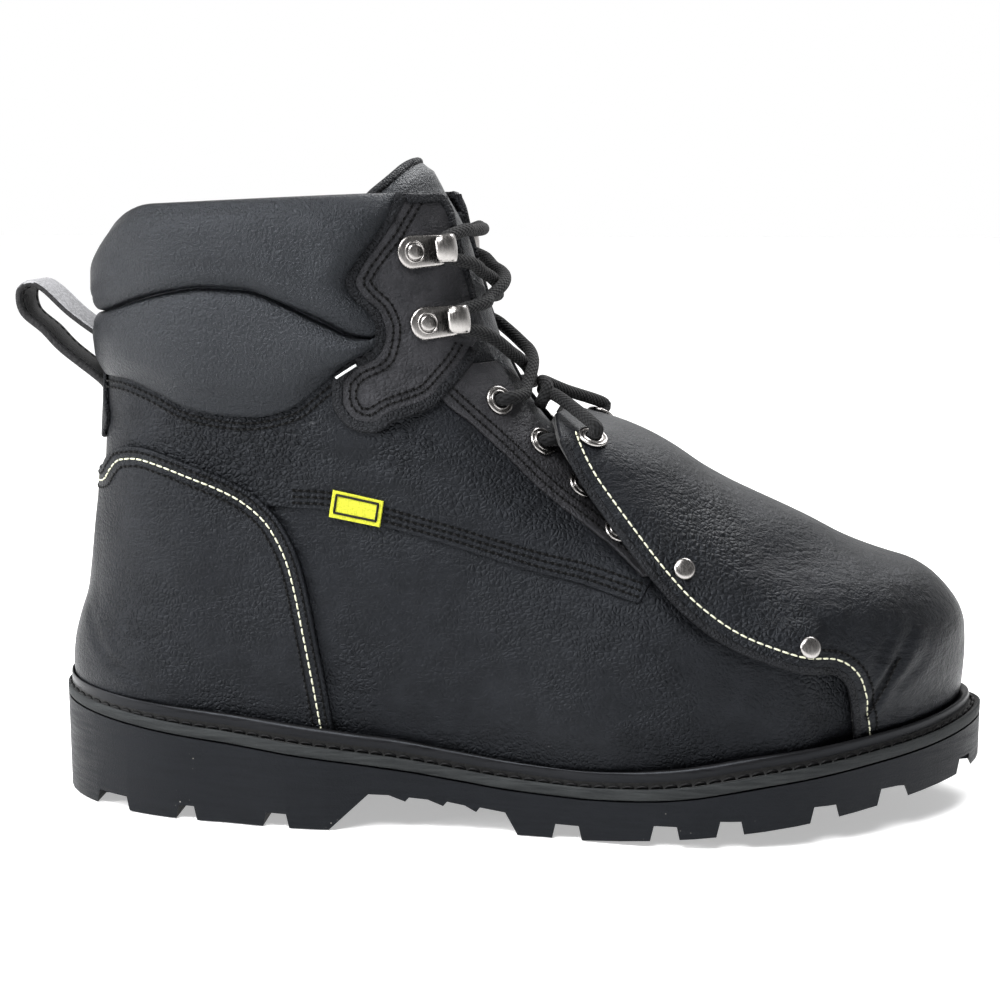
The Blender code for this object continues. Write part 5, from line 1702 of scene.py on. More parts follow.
def tongue_piece():
    first = TONGUE[0][0]
    rows_ = 70
    cols_ = 36
    outer = np.zeros((rows_ + 1, cols_ + 1, 3))
    inner = np.zeros_like(outer)
    for i in range(rows_ + 1):
        for j in range(cols_ + 1):
            a = -1.0 + 2.0 * j / cols_
            last = TONGUE_TOP - TONGUE_CORNER_DROP * a * a
            v = first + (last - first) * i / rows_
            half = spline(TONGUE, 1, v)
            thick_ = spline(TONGUE, 2, v)
            lean = spline(TONGUE, 3, v)
            t = a * half
            vb = min(v, 1.0)
            soft = math.cos(a * math.pi / 2) ** 0.6 if abs(a) < 0.999 else 0.0
            thick_ = 0.0016 + (thick_ - 0.0016) * soft
            gate = throat_share(v)
            lift = TONGUE_BULGE * smooth_step(1.0 - abs(t) / max(gate, 0.02))
            low = smooth_step((v - 0.44) / 0.06)
            off = -UPPER_WALL - 0.0011 + (0.0006 + lift) * low
            edge_round = smooth_step((last - v) / 0.02)
            up = np.array([-lean, 0, (v - vb) * (RIM_HEIGHT * 0.87)])
            outer[i, j] = np.array(BODY.point(t, vb, off - (1 - edge_round) * thick_ * 0.35)) + up
            inner[i, j] = np.array(BODY.point(t, vb, off - thick_ + (1 - edge_round) * thick_ * 0.35)) + up
    return outer, inner


outer, inner = tongue_piece()
rows_, cols_ = outer.shape[:2]
N = grid_normals(outer, outer - inner)
fade = np.clip(np.minimum(np.arange(rows_), np.arange(rows_)[::-1]) / 5.0, 0, 1)[:, None]
outer = outer + N * ((wave(outer, 31, 0.03, 0.0006)) * fade)[..., None]
verts = np.concatenate([outer.reshape(-1, 3), inner.reshape(-1, 3)])
tongue_obj = solid("tongue_pad", verts, wall_faces(rows_, cols_), CUFF)
keep(tongue_obj, "cuff", "tongue")
edge_line = [(outer[-1, j] + inner[-1, j]) / 2 for j in range(cols_)]
left = [(outer[i, 0] + inner[i, 0]) / 2 for i in range(rows_ - 22, rows_ - 1)]
right = [(outer[i, -1] + inner[i, -1]) / 2 for i in range(rows_ - 22, rows_ - 1)]
hem = curve3(left + edge_line + right[::-1], 0.0015)
keep(rope("tongue_hem", hem, 0.0016, HIDE_FINE, 12), "cuff")


# Metal parts


def vec(p):
    return np.array(p, float)


def skin_frame(form, x, z, side, off):
    """Centre, outward normal, direction to the front, upward direction."""
    v = level_at(x, z)
    t = form.tau(x, v) * side
    p = vec(form.point(t, v, off))
    n = vec(form.normal(t, v))
    f = np.array([1.0, 0.0, 0.0])
    f = unit(f - n * np.dot(f, n))
    u = np.cross(n, f)
    if u[2] < 0:
        u = -u
    return p, n, f, unit(u)


def eyelet_frame(spot, side, form=BODY):
    """Frame in the middle of an eyelet, on the eyestay or on the guard."""
    off = EYESTAY_THICK + TRIM_GAP + 1.3 * SEAT_GAP
    if form is GUARD:
        off = SEAT_GAP + 0.0001
    return skin_frame(form, x_at(spot[0]), spot[1] * RIM_HEIGHT, side, off)


HOOK_TILT = math.radians(8.0)
HOOK_HALF = HOOK_LENGTH / 2 - HOOK_WIDTH / 2


def hook_frame(spot, side, sink=0.0):
    """Frame in the middle of a hook's plate, which rises a little to the front."""
    off = FACING_THICK + TRIM_GAP + 2 * SEAT_GAP
    p, n, f, u = skin_frame(BODY, x_at(spot[0]), spot[1] * RIM_HEIGHT, side, off - sink)
    c = math.cos(HOOK_TILT)
    s = math.sin(HOOK_TILT)
    return p, n, f * c + u * s, u * c - f * s


def turned(name, centre, axis, right, up, profile, sides, mat):
    """Solid of revolution from radius and height rows."""
    verts = []
    for r, h in profile:
        for k in range(sides):
            w = 2 * math.pi * k / sides
            verts.append(centre + (right * math.cos(w) + up * math.sin(w)) * r + axis * h)
    rows_ = len(profile)
    faces_ = [tuple(f) for f in quads(rows_, sides, wrap=True)]
    if profile[0][0] > 1e-6:
        faces_.append(tuple(reversed(range(sides))))
    if profile[-1][0] > 1e-6:
        faces_.append(tuple((rows_ - 1) * sides + k for k in range(sides)))
    return solid(name, verts, faces_, mat)


def ring_profile(rows_):
    """Half round beads side by side: middle radius, bead radius, base height."""
    out_ = []
    for mid, bead, base in rows_:
        for k in range(9):
            w = math.pi * (1.0 - k / 8.0)
            out_.append((mid + math.cos(w) * bead, base + math.sin(w) * bead))
    return out_


def eyelet_piece(name, p, n, f, u):
    profile = [(0.00235, -0.0010)] + ring_profile(((0.00300, 0.00055, 0.00025), (0.00435, 0.00062, 0.00005)))
    profile += [(0.0050, -0.0004)]
    ring = turned(name, p, n, f, u, profile, 40, STEEL)
    # a near-black disc across the bore: painted shade inside the eyelet
    bore = [(0.0026, -0.0001), (0.0025, 0.00006), (0.0000001, 0.00007)]
    return ring, turned(name + "_bore", p, n, f, u, bore, 24, HOLE_SHADE)


for tag, side in SIDES:
    for number, spot in enumerate(EYELETS, 1):
        ring, hole = eyelet_piece("ring_%s_%d" % (tag, number), *eyelet_frame(spot, side))
        keep(ring, "nickel", "eyelet_%s_%d" % (tag, number))
        keep(hole, "nickel")
    ring, hole = eyelet_piece("ring_guard_" + tag, *eyelet_frame(GUARD_EYELET, side, GUARD))
    keep(ring, "nickel", "guard_eyelet_" + tag)
    keep(hole, "nickel")
    for number, (xs, zs, sink) in enumerate(RIVETS):
        p, n, f, u = skin_frame(GUARD, x_at(xs), zs * RIM_HEIGHT, side, 0.0002)
        profile = [(0.0033, -0.0006), (0.0035, 0.0002), (0.0034, 0.0006), (0.0030, 0.00098),
                   (0.0024, 0.00120), (0.0013, 0.00132), (0.0000001, 0.00136)]
        dome_ = turned("stud_%s_%d" % (tag, number + 1), p, n, f, u, profile, 40, STEEL)
        keep(dome_, "nickel", "rivet_%s_%d" % (tag, number + 1))


# size of the hook's cup
CUP_TALL = 0.0094
CUP_FRONT = 0.0039
CUP_NOSE = 0.0047
CUP_CORNER = 0.0024


def hook_piece(name, p, n, f, u):
    """Speed hook: rivet, rounded plate and a bent cup that opens to the back."""
    half = HOOK_HALF
    verts = []
    ring_n = 44
    levels = ((-0.0006, 0.0), (-0.0001, 0.0), (0.0, 0.00035),
              (0.0004, 0.00065), (0.0010, 0.0008), (0.0030, 0.0008))
    for inset_, high in levels:
        for k in range(ring_n):
            w = 2 * math.pi * (k + 0.5) / ring_n
            # the plate narrows a little under the cup
            r = HOOK_WIDTH / 2 - max(0.0, inset_)
            c = half if math.cos(w) > 0 else -half
            r *= 1.0 if math.cos(w) < 0 else 0.94
            verts.append(p + f * (c + math.cos(w) * r) + u * (math.sin(w) * r) + n * high)
    faces_ = [tuple(q) for q in quads(len(levels), ring_n, wrap=True)]
    faces_.append(tuple((len(levels) - 1) * ring_n + k for k in range(ring_n)))
    faces_.append(tuple(reversed(range(ring_n))))
    plate = solid(name, verts, faces_, STEEL)
    seat = p - f * (half - 0.0004) + n * 0.0007
    cap = turned(name + "_rivet", seat, n, f, u, [
        (0.0036, 0.0000), (0.0036, 0.00035), (0.0033, 0.00060), (0.0030, 0.00055), (0.0028, 0.00020),
        (0.0026, 0.00022), (0.0025, 0.0008), (0.0022, 0.00100), (0.0014, 0.00110), (0.0000001, 0.00114)],
        36, STEEL)
    # cup: a bent strip with an inner and an outer side
    centre = p + f * (half + 0.0004)
    arc_out = []
    arc_in = []
    for k in range(19):
        w = -0.5 * math.pi + math.pi * k / 18
        arc_out.append((math.cos(w) * CUP_FRONT, math.sin(w) * 0.0046 + 0.0049))
        arc_in.append((math.cos(w) * 0.0030, math.sin(w) * 0.0036 + 0.0049))
    # the strip's flat top runs back towards the rivet, with a rounded nose
    arc_out = arc_out + [(-0.0018, CUP_TALL), (-0.0040, 0.0088), (-CUP_NOSE, 0.0082)]
    arc_in = arc_in + [(-0.0018, 0.0086), (-0.0036, 0.0081), (-0.0045, 0.0077)]
    prof = arc_out + arc_in[::-1]
    steps_ = ((-0.00395, 0.55), (-0.0037, 0.82), (-0.0032, 0.94), (-0.0022, 1.0), (0.0, 1.0), (0.0022, 1.0),
              (0.0032, 0.94), (0.0037, 0.82), (0.00395, 0.55))
    verts = []
    m_ = len(prof)
    for y, k in steps_:
        for i, (a, b) in enumerate(prof):
            # the lip's corners are rounded, the wall keeps its thickness
            pair = prof[m_ - 1 - i]
            ca = (a + pair[0]) / 2
            cb = (b + pair[1]) / 2
            a2 = ca + (a - ca) * k
            b2 = cb + (b - cb) * k
            wide = 1.0 + 0.12 * max(0.0, b / CUP_TALL) - 0.10 * max(0.0, -a / CUP_NOSE)
            # in plan the corners of the cup are round, and its top swells
            over = max(0.0, abs(y) - 0.0017) / CUP_CORNER
            cut = CUP_CORNER * (1.0 - math.sqrt(max(0.0, 1.0 - over * over)))
            a2 = min(max(a2, -CUP_NOSE + cut), CUP_FRONT - cut * 0.7)
            b2 -= 0.0012 * (y / 0.004) ** 2 * max(0.0, b / CUP_TALL)
            verts.append(centre + f * a2 + n * b2 + u * (y * wide))
    faces_ = [tuple(q) for q in quads(len(steps_), m_, wrap=True)]
    half_m = m_ // 2
    for i in range(half_m - 1):
        faces_.append((i, i + 1, m_ - 2 - i, m_ - 1 - i))
        q = (len(steps_) - 1) * m_
        faces_.append((q + i + 1, q + i, q + m_ - 1 - i, q + m_ - 2 - i))
    cup = solid(name + "_cup", verts, faces_, STEEL)
    return plate, cap, cup


for tag, side in SIDES:
    for number, spot in enumerate(HOOKS, 1):
        plate, cap, cup = hook_piece("speed_%s_%d" % (tag, number), *hook_frame(spot, side, 0.0002))
        keep(plate, "nickel", "hook_%s_%d" % (tag, number))
        keep(cap, "nickel")
        keep(cup, "nickel")


# Laces

LACE_OVER_TRIM = 4.7 * MM
LACE_OVER_TONGUE = 3.1 * MM
LACE_FROM_EYELET = 5.4 * MM
LACE_FROM_HOOK = 6.4 * MM
LACE_AT_HOOK = 5.3 * MM
LACE_HOOK_SPREAD = 4.6 * MM
LACE_TOP_RISE = 6.5 * MM
LACE_BARS = (
    (2, -3.0 * MM, 1.6 * MM),
    (3, 0.0, 0.0),
    (4, 0.0, 0.3 * MM),
)
GUARD_LACE_RISE = 4.0 * MM


def lace_height(t, v):
    gate = throat_share(v)
    on_trim = smooth_step((abs(t) - gate * 0.75) / 0.03)
    return LACE_OVER_TONGUE + (LACE_OVER_TRIM - LACE_OVER_TONGUE) * on_trim


def lace_anchor(spot, side, on_hook, rise=0.0):
    x = x_at(spot[0]) + LACE_FROM_EYELET
    if on_hook:
        x = x_at(spot[0]) + HOOK_LENGTH / 2 - HOOK_WIDTH / 2 + LACE_FROM_HOOK
    z = spot[1] * RIM_HEIGHT + rise
    v = level_at(x, z)
    lift = LACE_AT_HOOK if on_hook else LACE_OVER_TRIM
    return v, BODY.tau(x, v) * side, lift


def lace_path(start, end, bump, steps=9):
    v0, t0, h0 = start
    v1, t1, h1 = end
    path = []
    for i in range(steps + 1):
        s = i / steps
        t = t0 + (t1 - t0) * s
        v = v0 + (v1 - v0) * s
        ends = smooth_step(min(s, 1.0 - s) / 0.14)
        anchor = h0 if s < 0.5 else h1
        off = anchor + (lace_height(t, v) - anchor) * ends
        off += bump * math.cos(math.pi * (s - 0.5)) ** 2
        path.append(vec(BODY.point(t if abs(t) > 0.001 else 0.001, min(v, 1.0), off)))
    return path


def round_hook(spot, side):
    """Middle of a hook's cup, where the lace lies, with the hook's directions."""
    p, n, f, u = hook_frame(spot, side)
    return p + f * (HOOK_HALF - 0.0004) + n * 0.0046, n, f, u


def strand(name, path):
    return rope(name, curve3(path, 0.0009), LACE_RADIUS, LACE, 18)


def cross_ends(name, upper_spot, lower_spot, upper_hook, lower_hook, node):
    made = []
    down = -LACE_HOOK_SPREAD
    up = LACE_HOOK_SPREAD if lower_hook else 0.0
    for side, bump in ((-1, 0.0), (1, LACE_RADIUS * 1.5)):
        start = lace_anchor(upper_spot, side, upper_hook, down)
        end = lace_anchor(lower_spot, -side, lower_hook, up)
        path = lace_path(start, end, bump)
        head = []
        tail = []
        if upper_hook:
            c, n, f, u = round_hook(upper_spot, side)
            head = [c + u * 0.0002, c - u * 0.0026 + f * 0.0012]
        if lower_hook:
            c, n, f, u = round_hook(lower_spot, -side)
            tail = [c + u * 0.0026 + f * 0.0012, c - u * 0.0002]
        else:
            c, n, f, u = eyelet_frame(lower_spot, -side)
            tail = [c + f * 0.0014 + n * 0.0034, c + n * 0.0004, c - n * 0.0022]
        made.append(strand("%s_%s" % (name, "a" if side < 0 else "b"), head + path + tail))
    keep(made[0], "lace", node)
    keep(made[1], "lace")


cross_ends("lace_high", HOOKS[0], HOOKS[1], True, True, "lace_cross_1")
cross_ends("lace_mid", HOOKS[1], EYELETS[0], True, False, "lace_cross_2")


def straight_bar(name, spot, on_hook, rise, sink, node):
    """One strand straight across, its ends led into the metal on both sides."""
    v, t = lace_anchor(spot, -1, on_hook)[:2]
    v += rise / RIM_HEIGHT
    path = lace_path((v, t, LACE_OVER_TRIM), (v, -t, LACE_OVER_TRIM), -sink, 6)
    ends = []
    for side in (-1, 1):
        if on_hook:
            c, n, f, u = round_hook(spot, side)
            ends.append([c - u * 0.0002, c + u * 0.0032 + f * 0.0012])
        else:
            c, n, f, u = eyelet_frame(spot, side)
            ends.append([c - n * 0.0022, c + n * 0.0004, c + f * 0.0016 + n * 0.0026])
    keep(strand(name, ends[0] + path + ends[1][::-1]), "lace", node)


straight_bar("lace_high_bar", HOOKS[0], True, LACE_TOP_RISE, 0.0, "lace_bar_top")
for number, rise, sink in LACE_BARS:
    straight_bar("lace_under_%d" % number, EYELETS[number - 1], False, rise, sink, "lace_bar_%d" % number)

# two strands over the guard's edge into its eyelets
strands = []
for side, bump in ((-1, 0.0), (1, LACE_RADIUS * 1.4)):
    v0 = lace_anchor(EYELETS[0], -side, False)[0] - 0.02
    begin = vec(BODY.point(-side * throat_share(v0) * 0.7, v0, LACE_OVER_TONGUE))
    x1 = x_at(GUARD_EYELET[0])
    z1 = GUARD_EYELET[1] * RIM_HEIGHT
    p, n, f, u = skin_frame(GUARD, x1, z1, side, 4.6 * MM)
    level = GUARD_LEVELS[-1]
    crest = vec(GUARD.point(0.001, level, 0.0))
    mid = np.array([crest[0] - 0.0075, 0.0, crest[2] + GUARD_LACE_RISE + 0.0015 + bump])
    edge_ = vec(GUARD.point(side * 0.055, level, 0.0)) + np.array([0.0005, 0, GUARD_LACE_RISE])
    leave = begin * 0.55 + mid * 0.45 + np.array([0.002, 0, 0.001 + bump * 0.4])
    hole, hn, hf, hu = eyelet_frame(GUARD_EYELET, side, GUARD)
    path = [begin, leave, mid, edge_, p - hf * 0.0006, hole + hn * 0.0012, hole - hn * 0.0016]
    strands.append(strand("lace_guard_%s" % ("a" if side < 0 else "b"), path))
keep(strands[0], "lace", "lace_cross_3")
keep(strands[1], "lace")


# Welt, lip and stitched channel

LIP_RISE = 4.6 * MM
WELT_INNER = 7.0 * MM


def lip_clear(t):
    x = BODY.raw(t, 0.0).x
    back = smooth_step((x_at(0.385) - x) / 0.016)
    return SEAT_GAP + back * (COUNTER_THICK + SEAT_GAP)


def welt_rings():
    count = 260
    rings = []
    marks = []
    for k in range(count):
        t = -1.0 + 2.0 * k / count
        skin_ = BODY.raw(t, 0.0)
        x = sole_x(t)
        half, mid = sole_side(x)
        side = -1.0 if t < 0 else 1.0
        if k == 0 or abs(t) < 1e-6:
            half = 0.0
        top_ = welt_top(x)
        out_ = np.array([x, mid + side * half, 0.0])
        flush = BODY.normal(t, 0.0)
        flush.z = 0.0
        flush.normalize()
        flush = vec(flush)

        def at(p, z):
            return np.array([p[0], p[1], z])

        def lip(share, rise):
            v = rise / (rim(skin_.x) - feather(skin_.x))
            inner_ = vec(BODY.point(t, max(v, 0.0), lip_clear(t)))
            p = out_ * (1 - share) + inner_ * share
            q = welt_top(x) * (1 - share) + welt_top(inner_[0]) * share
            return np.array([p[0], p[1], q + rise])

        ring = [at(out_ - flush * 0.0003, top_ - EDGE_BAND), at(out_, top_ - EDGE_BAND + 0.0003),
                at(out_, top_ - 0.0005), at(out_ - flush * 0.00015, top_ - 0.00015),
                at(out_ - flush * 0.0006, top_),
                lip(0.10, 0.0), lip(0.20, -0.0003), lip(0.30, -0.0006), lip(0.40, -0.0006), lip(0.47, 0.0),
                lip(0.50, 0.0012), lip(0.52, 0.0026), lip(0.56, 0.0037), lip(0.62, 0.0044),
                lip(0.70, LIP_RISE), lip(0.82, LIP_RISE - 0.0001), lip(0.94, LIP_RISE - 0.0008),
                lip(1.00, LIP_RISE - 0.0016),
                lip(1.00, 0.0)]
        inner_ = BODY.point(t, 0.0, -WELT_INNER)
        ring.append(np.array([inner_.x, inner_.y, welt_top(inner_.x)]))
        ring.append(np.array([inner_.x, inner_.y, welt_top(inner_.x) - EDGE_BAND]))
        rings.append(ring)
        marks.append((lip(0.31, 0.0002), lip(0.31, 0.0012) - lip(0.31, 0.0002)))
    return np.array(rings), marks


R, marks = welt_rings()
count, n = R.shape[:2]
faces = []
slots = []
for i in range(count):
    k = (i + 1) % count
    for j in range(n):
        m = (j + 1) % n
        faces.append((i * n + j, i * n + m, k * n + m, k * n + j))
        slots.append(0 if j < 5 or j > 17 else (1 if j < 10 else 2))
welt_obj = solid("welt_strip", R.reshape(-1, 3), faces, BAND, mats=[CHANNEL, LIP], slots=slots)
keep(welt_obj, "welt", "welt")
line_ = np.array([m[0] for m in marks])
loop_ = curve3(list(line_) + [line_[0]], 0.0046)
up_ = np.tile([0.0, 0.0, 1.0], (len(loop_), 1))
keep(stitch_row("welt_stitches", loop_, up_, DARK_THREAD, 0.00055, 0.86), "welt")


# Outsole with softened edges, insole


def softened(node, name, mat):
    """A solid of the frame with a small round on its edges."""
    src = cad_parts[node]
    obj = bpy.data.objects.new(name, src.data.copy())
    bpy.context.scene.collection.objects.link(obj)
    obj.matrix_world = src.matrix_world.copy()
    obj.data.materials.clear()
    obj.data.materials.append(mat)
    bm = bmesh.new()
    bm.from_mesh(obj.data)
    bmesh.ops.remove_doubles(bm, verts=bm.verts, dist=0.00001)
    bmesh.ops.dissolve_limit(bm, angle_limit=math.radians(0.6), verts=bm.verts, edges=bm.edges)
    bm.to_mesh(obj.data)
    bm.free()
    mod = obj.modifiers.new("soft_edges", "BEVEL")
    mod.width = 0.0006
    mod.segments = 2
    mod.limit_method = "ANGLE"
    mod.angle_limit = math.radians(32.0)
    mod.harden_normals = False
    mod.use_clamp_overlap = True
    obj.data.polygons.foreach_set("use_smooth", [True] * len(obj.data.polygons))
    smooth_by = obj.modifiers.new("flat_faces", "WEIGHTED_NORMAL")
    smooth_by.keep_sharp = False
    return obj


keep(softened("outsole", "sole_moulding", SOLE), "rubber", "outsole")
keep(softened("insole", "footbed", FOOTBED), "board", "insole")


# Woven tag with a plain frame, and pull loop


def tag_spot(r, s, off):
    a, b, c, d = LABEL_CORNERS
    x = (a[0] * (1 - s) + b[0] * s) * (1 - r) + (d[0] * (1 - s) + c[0] * s) * r
    z = (a[1] * (1 - s) + b[1] * s) * (1 - r) + (d[1] * (1 - s) + c[1] * s) * r
    v = level_at(x_at(x), z * RIM_HEIGHT)
    t = -BODY.tau(x_at(x), v)
    return BODY.point(t, v, off), BODY.normal(t, v)


P, N = grid_from(lambda r, s: tag_spot(r, s, SEAT_GAP + LABEL_THICK + 0.0004),
                 edge_steps(10, 0.0003, 0.0085), edge_steps(16, 0.0003, 0.017))
tag_obj = sheet_piece("woven_tag", P, N, LABEL_THICK + 0.0004, YELLOW_TAG, 0.0003)
keep(tag_obj, "label", "label")
frame_line = [(0.14, 0.09), (0.14, 0.91), (0.80, 0.91), (0.80, 0.09), (0.14, 0.09)]
pts = []
for (r0, s0), (r1, s1) in zip(frame_line[:-1], frame_line[1:]):
    for k in range(18):
        w = k / 18
        p = tag_spot(r0 + (r1 - r0) * w, s0 + (s1 - s0) * w, SEAT_GAP + LABEL_THICK + 0.0005)[0]
        pts.append(vec(p))
keep(rope("tag_frame", np.array(pts), 0.00042, TAG_BLACK, 6, closed=True), "label")


def loop_strip():
    pts_ = [np.array([x_at(a), 0.0, b * RIM_HEIGHT]) for a, b in LOOP_PATH]
    ends_a = np.array([0.0035, 0.0, -0.0022])
    path_ = curve3([pts_[0] + ends_a] + pts_ + [pts_[-1] + np.array([0.0012, 0.0, -0.0032])], 0.0011)
    middle_y = swing(-0.04, 0.8)
    d = unit(np.gradient(path_, axis=0))
    side_n = np.stack([-d[:, 2], np.zeros(len(d)), d[:, 0]], 1)
    prof_ = []
    w = LOOP_WIDTH / 2
    h = LOOP_THICK / 2
    r = 0.0009
    corners = ((w - r, h - r, 0), (-(w - r), h - r, 90), (-(w - r), -(h - r), 180), (w - r, -(h - r), 270))
    for cy, cn, a0 in corners:
        for k in range(4):
            q = math.radians(a0 + 90 * k / 3)
            prof_.append((cy + r * math.cos(q), cn + r * math.sin(q)))
    # a sewn line sinks along each edge, on both faces
    fine = []
    for i in range(len(prof_)):
        a = prof_[i]
        b = prof_[(i + 1) % len(prof_)]
        fine.append(a)
        if abs(a[0] - b[0]) > 0.01:
            sign = 1 if a[1] > 0 else -1
            for q in (0.06, 0.10, 0.14, 0.5, 0.86, 0.90, 0.94):
                y = a[0] + (b[0] - a[0]) * q
                dip = 0.00028 if q in (0.10, 0.90) else 0.0
                fine.append((y, a[1] - sign * dip))
    verts_ = []
    for p, s in zip(path_, side_n):
        for y, high in fine:
            verts_.append(p + np.array([0.0, middle_y + y, 0.0]) + s * high)
    m_ = len(fine)
    faces_ = [tuple(q) for q in quads(len(path_), m_, wrap=True)]
    faces_.append(tuple(range(m_)))
    faces_.append(tuple((len(path_) - 1) * m_ + k for k in reversed(range(m_))))
    # the upward-facing outer face of the upper run gets a pale copy of the weave: a painted highlight where
    # the overhead light falls on it
    slots_ = []
    turn = int(np.argmin(path_[:, 0]))
    for i in range(len(path_) - 1):
        for j in range(m_):
            high = (fine[j][1] + fine[(j + 1) % m_][1]) / 2
            up_ = side_n[i][2] * high
            slots_.append(1 if up_ > 0.0004 and i < turn - 3 else 0)
    slots_ += [0, 0]
    strip = solid("loop_strip", verts_, faces_, WEBBING, mats=[WEBBING_LIT_FACE], slots=slots_)
    return strip, path_, side_n, middle_y


loop_obj, lp, ln, ly = loop_strip()
# the stitches show on the strap's inner face
LOOP_INSIDE = -1 if ln[len(ln) // 4][2] > 0 else 1
keep(loop_obj, "leather", "pull_loop")
for number, y in enumerate((0.0067, -0.0067)):
    sunk = ln * (LOOP_INSIDE * (LOOP_THICK / 2 - 0.0001))
    run = curve3(list(lp + np.array([0, ly + y, 0]) + sunk), 0.0028)
    nn = spread(ln, len(run)) * LOOP_INSIDE
    keep(stitch_row("loop_stitch_%d" % number, run, nn, DARK_THREAD, 0.0003), "leather")


# Stitching


def paced(P_, N_, pitch):
    """The same line, with points an even pitch apart as measured on the skin."""
    kept = np.concatenate([[True], np.linalg.norm(np.diff(P_, axis=0), axis=1) > 0.0003])
    P_, N_ = P_[kept], N_[kept]
    run = np.concatenate([[0.0], np.cumsum(np.linalg.norm(np.diff(P_, axis=0), axis=1))])
    at = np.linspace(0, run[-1], max(2, int(round(run[-1] / (pitch * MM)))) + 1)
    return [np.stack([np.interp(at, run, rows_[:, k]) for k in range(3)], 1) for rows_ in (P_, N_)]


def sew(name, form, path, side, off, relief, pitch=2.4, radius=0.00030, fill=0.62, hole=0.00048):
    """Black stitches with their needle holes."""
    P_, N_ = on_skin(form, soften(path, 0.7), side, off)
    P_, N_ = paced(P_ + N_ * relief(P_)[:, None], N_, pitch)
    mat = DARK_THREAD if hole else CREAM
    keep(stitch_row(name, P_, N_, mat, radius, fill), "leather")
    if hole:
        # the hole discs are painted shade inside the needle holes
        keep(dots(name + "_holes", P_, N_, HOLE_SHADE, hole, 0.00014), "leather")


def sew_cream(name, form, path, side, off, relief):
    """The contrast stitches: longer, closer together and without holes."""
    sew(name, form, path, side, off, relief, 2.8, 0.00029, 0.86, 0.0)


def counter_line(inset):
    """A line inside the counter's border, in millimetres of x, z."""
    pts_ = []
    for row in COUNTER_EDGE:
        x = x_at(row[1])
        pts_.append(in_mm(x, height(x, row[0])))
    # round the back the line keeps to the level of the counter's top
    top, front = COUNTER_EDGE[-1]
    back = BODY.raw(1.0, top).x
    for k in (0.3, 0.55, 0.75, 0.9, 1.0):
        x = x_at(front) + (back - x_at(front)) * k
        pts_.append(in_mm(x, height(x, top)))
    pts_ = soften(pts_, 1.0)
    return shifted(pts_, inset)


def guard_line(inset, low, high):
    pts_ = []
    for row in GUARD_EDGE:
        if low <= row[0] <= high:
            x = x_at(row[1])
            pts_.append(in_mm(x, height(x, row[0])))
    pts_ = soften(pts_, 1.0)
    return shifted(pts_, inset)


for tag, side in SIDES:
    top_off = COUNTER_GAP + COUNTER_THICK + 0.0001
    sew_cream("counter_cream_" + tag, BODY, counter_line(4.0), side, top_off, counter_relief)
    sew("counter_dark_a_" + tag, BODY, counter_line(6.4), side, top_off, counter_relief)
    sew("counter_dark_b_" + tag, BODY, counter_line(1.7), side, top_off, counter_relief)
    seam = np.array(SEAM[1:])
    for number, gap in enumerate((1.9, 3.9, 5.9)):
        sew("seam_%s_%d" % (tag, number), BODY, shifted(soften(seam, 1.0), gap), side, 0.00060, upper_relief,
            radius=0.00032, fill=0.60, hole=0.00056)
    # left border of the eyestay, two rows
    stay_line = [in_mm(x_at(r[1]), r[0] * RIM_HEIGHT) for r in EYESTAY_EDGE if r[0] <= 0.69]
    for number, gap in enumerate((-1.6, -3.6)):
        sew("eyestay_row_%s_%d" % (tag, number), BODY, shifted(soften(stay_line, 1.0), gap), side,
            TRIM_GAP + EYESTAY_THICK + 0.0001, eyestay_relief)
    # two rows inside the facing's bound edge
    edge2 = soften(facing_edge_path(), 1.0)
    for number, gap in enumerate((3.0, 5.0)):
        sew("facing_row_%s_%d" % (tag, number), BODY, shifted(edge2, gap), side,
            TRIM_GAP + FACING_THICK + 0.0001, facing_relief, 2.3)
    # band under the collar
    under = [in_mm(x_at(r[0]), r[1] * RIM_HEIGHT) for r in COLLAR_LOW if r[0] < 0.335]
    under = [(-30.0, 143.6)] + [p_ for p_ in under if p_[0] > -24.0]
    for number, gap in enumerate((-1.9, -3.9)):
        sew("collar_row_%s_%d" % (tag, number), BODY, shifted(soften(under, 1.0), gap), side, 0.00065,
            upper_relief, 2.3)
    # the guard's cut edge is dark and soft
    E, EN = on_skin(GUARD, guard_line(-0.8, 0.0, 0.60), side, -0.0002)
    E = E + EN * guard_relief(E)[:, None]
    keep(ribbon("guard_bind_" + tag, E, EN, 0.0013, 0.0006, HIDE_FINE, 0.0008), "leather")
    sew_cream("guard_cream_" + tag, GUARD, guard_line(-4.6, 0.0, 0.60), side, 0.0001, guard_relief)
    sew("guard_dark_" + tag, GUARD, guard_line(-7.0, 0.0, 0.19), side, 0.0001, guard_relief, 2.3)


TOE_DART = ((223.0, 38.5), (226.3, 45.0), (230.0, 52.0), (233.2, 58.0))

# dart stitched into the toe, and a sliver of pale lining that shows where collar and facing part
for tag, side in SIDES:
    sew("dart_" + tag, GUARD, TOE_DART, side, 0.0005, guard_relief, 2.6, 0.00034, 0.66)
line3 = soften(((54.0, 146.6), (57.0, 148.6), (60.2, 150.6)), 0.8)
P, N = on_skin(BODY, line3, -1, 0.0040)
keep(ribbon("lining_sliver", P, N, 0.0004, 0.0004, SLIVER), "leather")


# Floor and light


FLOOR_HALF = 6.0
FLOOR_Z = -0.0004
floor_paint = Paint("floor_white")
for key, v in (("Base Color", (0.80, 0.80, 0.80, 1.0)), ("Roughness", 0.9), ("Specular IOR Level", 0.0),
               ("Emission Color", (1.0, 1.0, 1.0, 1.0)), ("Emission Strength", 0.42)):
    floor_paint.set(key, v)
corners = [(x * FLOOR_HALF, y * FLOOR_HALF, FLOOR_Z) for x, y in ((-1, -1), (1, -1), (1, 1), (-1, 1))]
floor = solid("floor", corners, [(0, 1, 2, 3)], floor_paint.mat, smooth=False)

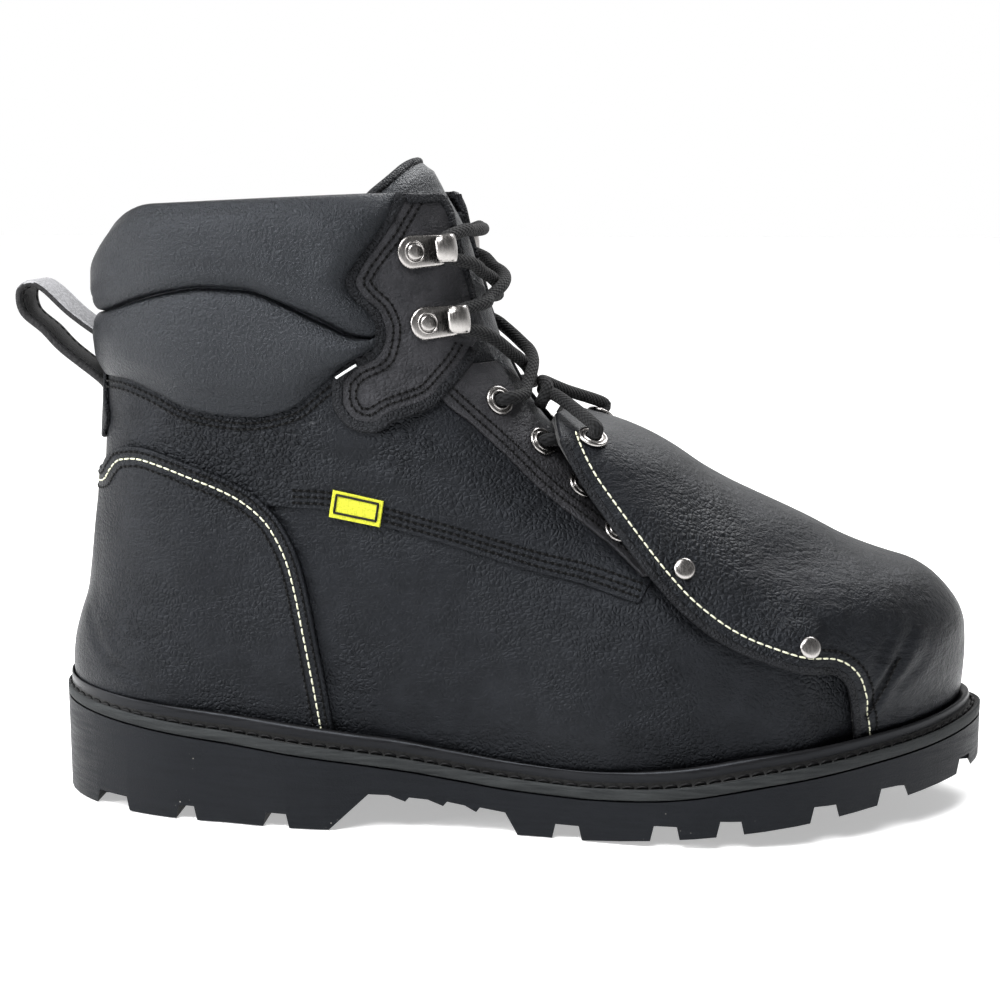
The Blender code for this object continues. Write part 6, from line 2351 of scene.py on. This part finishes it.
# the room is brightest behind the boot and dimmer on the camera's side
world = bpy.data.worlds.new("studio")
world.use_nodes = True
sky = world.node_tree
back_light = sky.nodes.get("Background")
back_light.inputs["Color"].default_value = (1.0, 1.0, 1.0, 1.0)


def sky_range(value, a, b, c, d):
    n = sky.nodes.new("ShaderNodeMapRange")
    n.interpolation_type = "SMOOTHSTEP"
    sky.links.new(value, n.inputs["Value"])
    for key, v in (("From Min", a), ("From Max", b), ("To Min", c), ("To Max", d)):
        n.inputs[key].default_value = v
    return n.outputs["Result"]


def sky_math(kind, a, b):
    n = sky.nodes.new("ShaderNodeMath")
    n.operation = kind
    sky.links.new(a, n.inputs[0])
    sky.links.new(b, n.inputs[1])
    return n.outputs[0]


way = sky.nodes.new("ShaderNodeTexCoord")
parts_ = sky.nodes.new("ShaderNodeSeparateXYZ")
sky.links.new(way.outputs["Generated"], parts_.inputs[0])
behind = sky_range(parts_.outputs[1], -0.15, 0.65, 0.32, 1.0)
above = sky_range(parts_.outputs[2], 0.14, 0.50, 1.0, 0.45)
# the horizon itself stays bright all round
horizon = sky_range(parts_.outputs[2], 0.05, 0.16, 1.0, 0.0)
strength = sky_math("MAXIMUM", sky_math("MULTIPLY", behind, above), horizon)
sky.links.new(strength, back_light.inputs["Strength"])
bpy.context.scene.world = world


def lamp(name, place, aim, size, power):
    data = bpy.data.lights.new(name, "AREA")
    data.shape = "RECTANGLE"
    data.size = size[0]
    data.size_y = size[1]
    data.energy = power
    obj = bpy.data.objects.new(name, data)
    obj.location = place
    d = Vector(aim) - Vector(place)
    obj.rotation_euler = d.to_track_quat("-Z", "Y").to_euler()
    bpy.context.scene.collection.objects.link(obj)


lamp("key", (-0.10, -0.55, 1.00), (0.10, 0.0, 0.08), (0.6, 0.4), 16.0)
lamp("rim_back", (0.40, 0.60, 0.85), (0.12, 0.0, 0.10), (0.8, 0.4), 11.0)
lamp("left", (-0.75, -0.35, 0.45), (0.02, 0.0, 0.12), (0.3, 0.6), 12.0)
sun = bpy.data.lights.new("overhead", "SUN")
sun.energy = 1.5
sun.angle = math.radians(50.0)
over = bpy.data.objects.new("overhead", sun)
over.rotation_euler = (math.radians(18.0), math.radians(-14.0), 0.0)
bpy.context.scene.collection.objects.link(over)

scene = bpy.context.scene
scene.view_settings.view_transform = "Standard"
scene.view_settings.look = "None"
scene.view_settings.exposure = 0.0
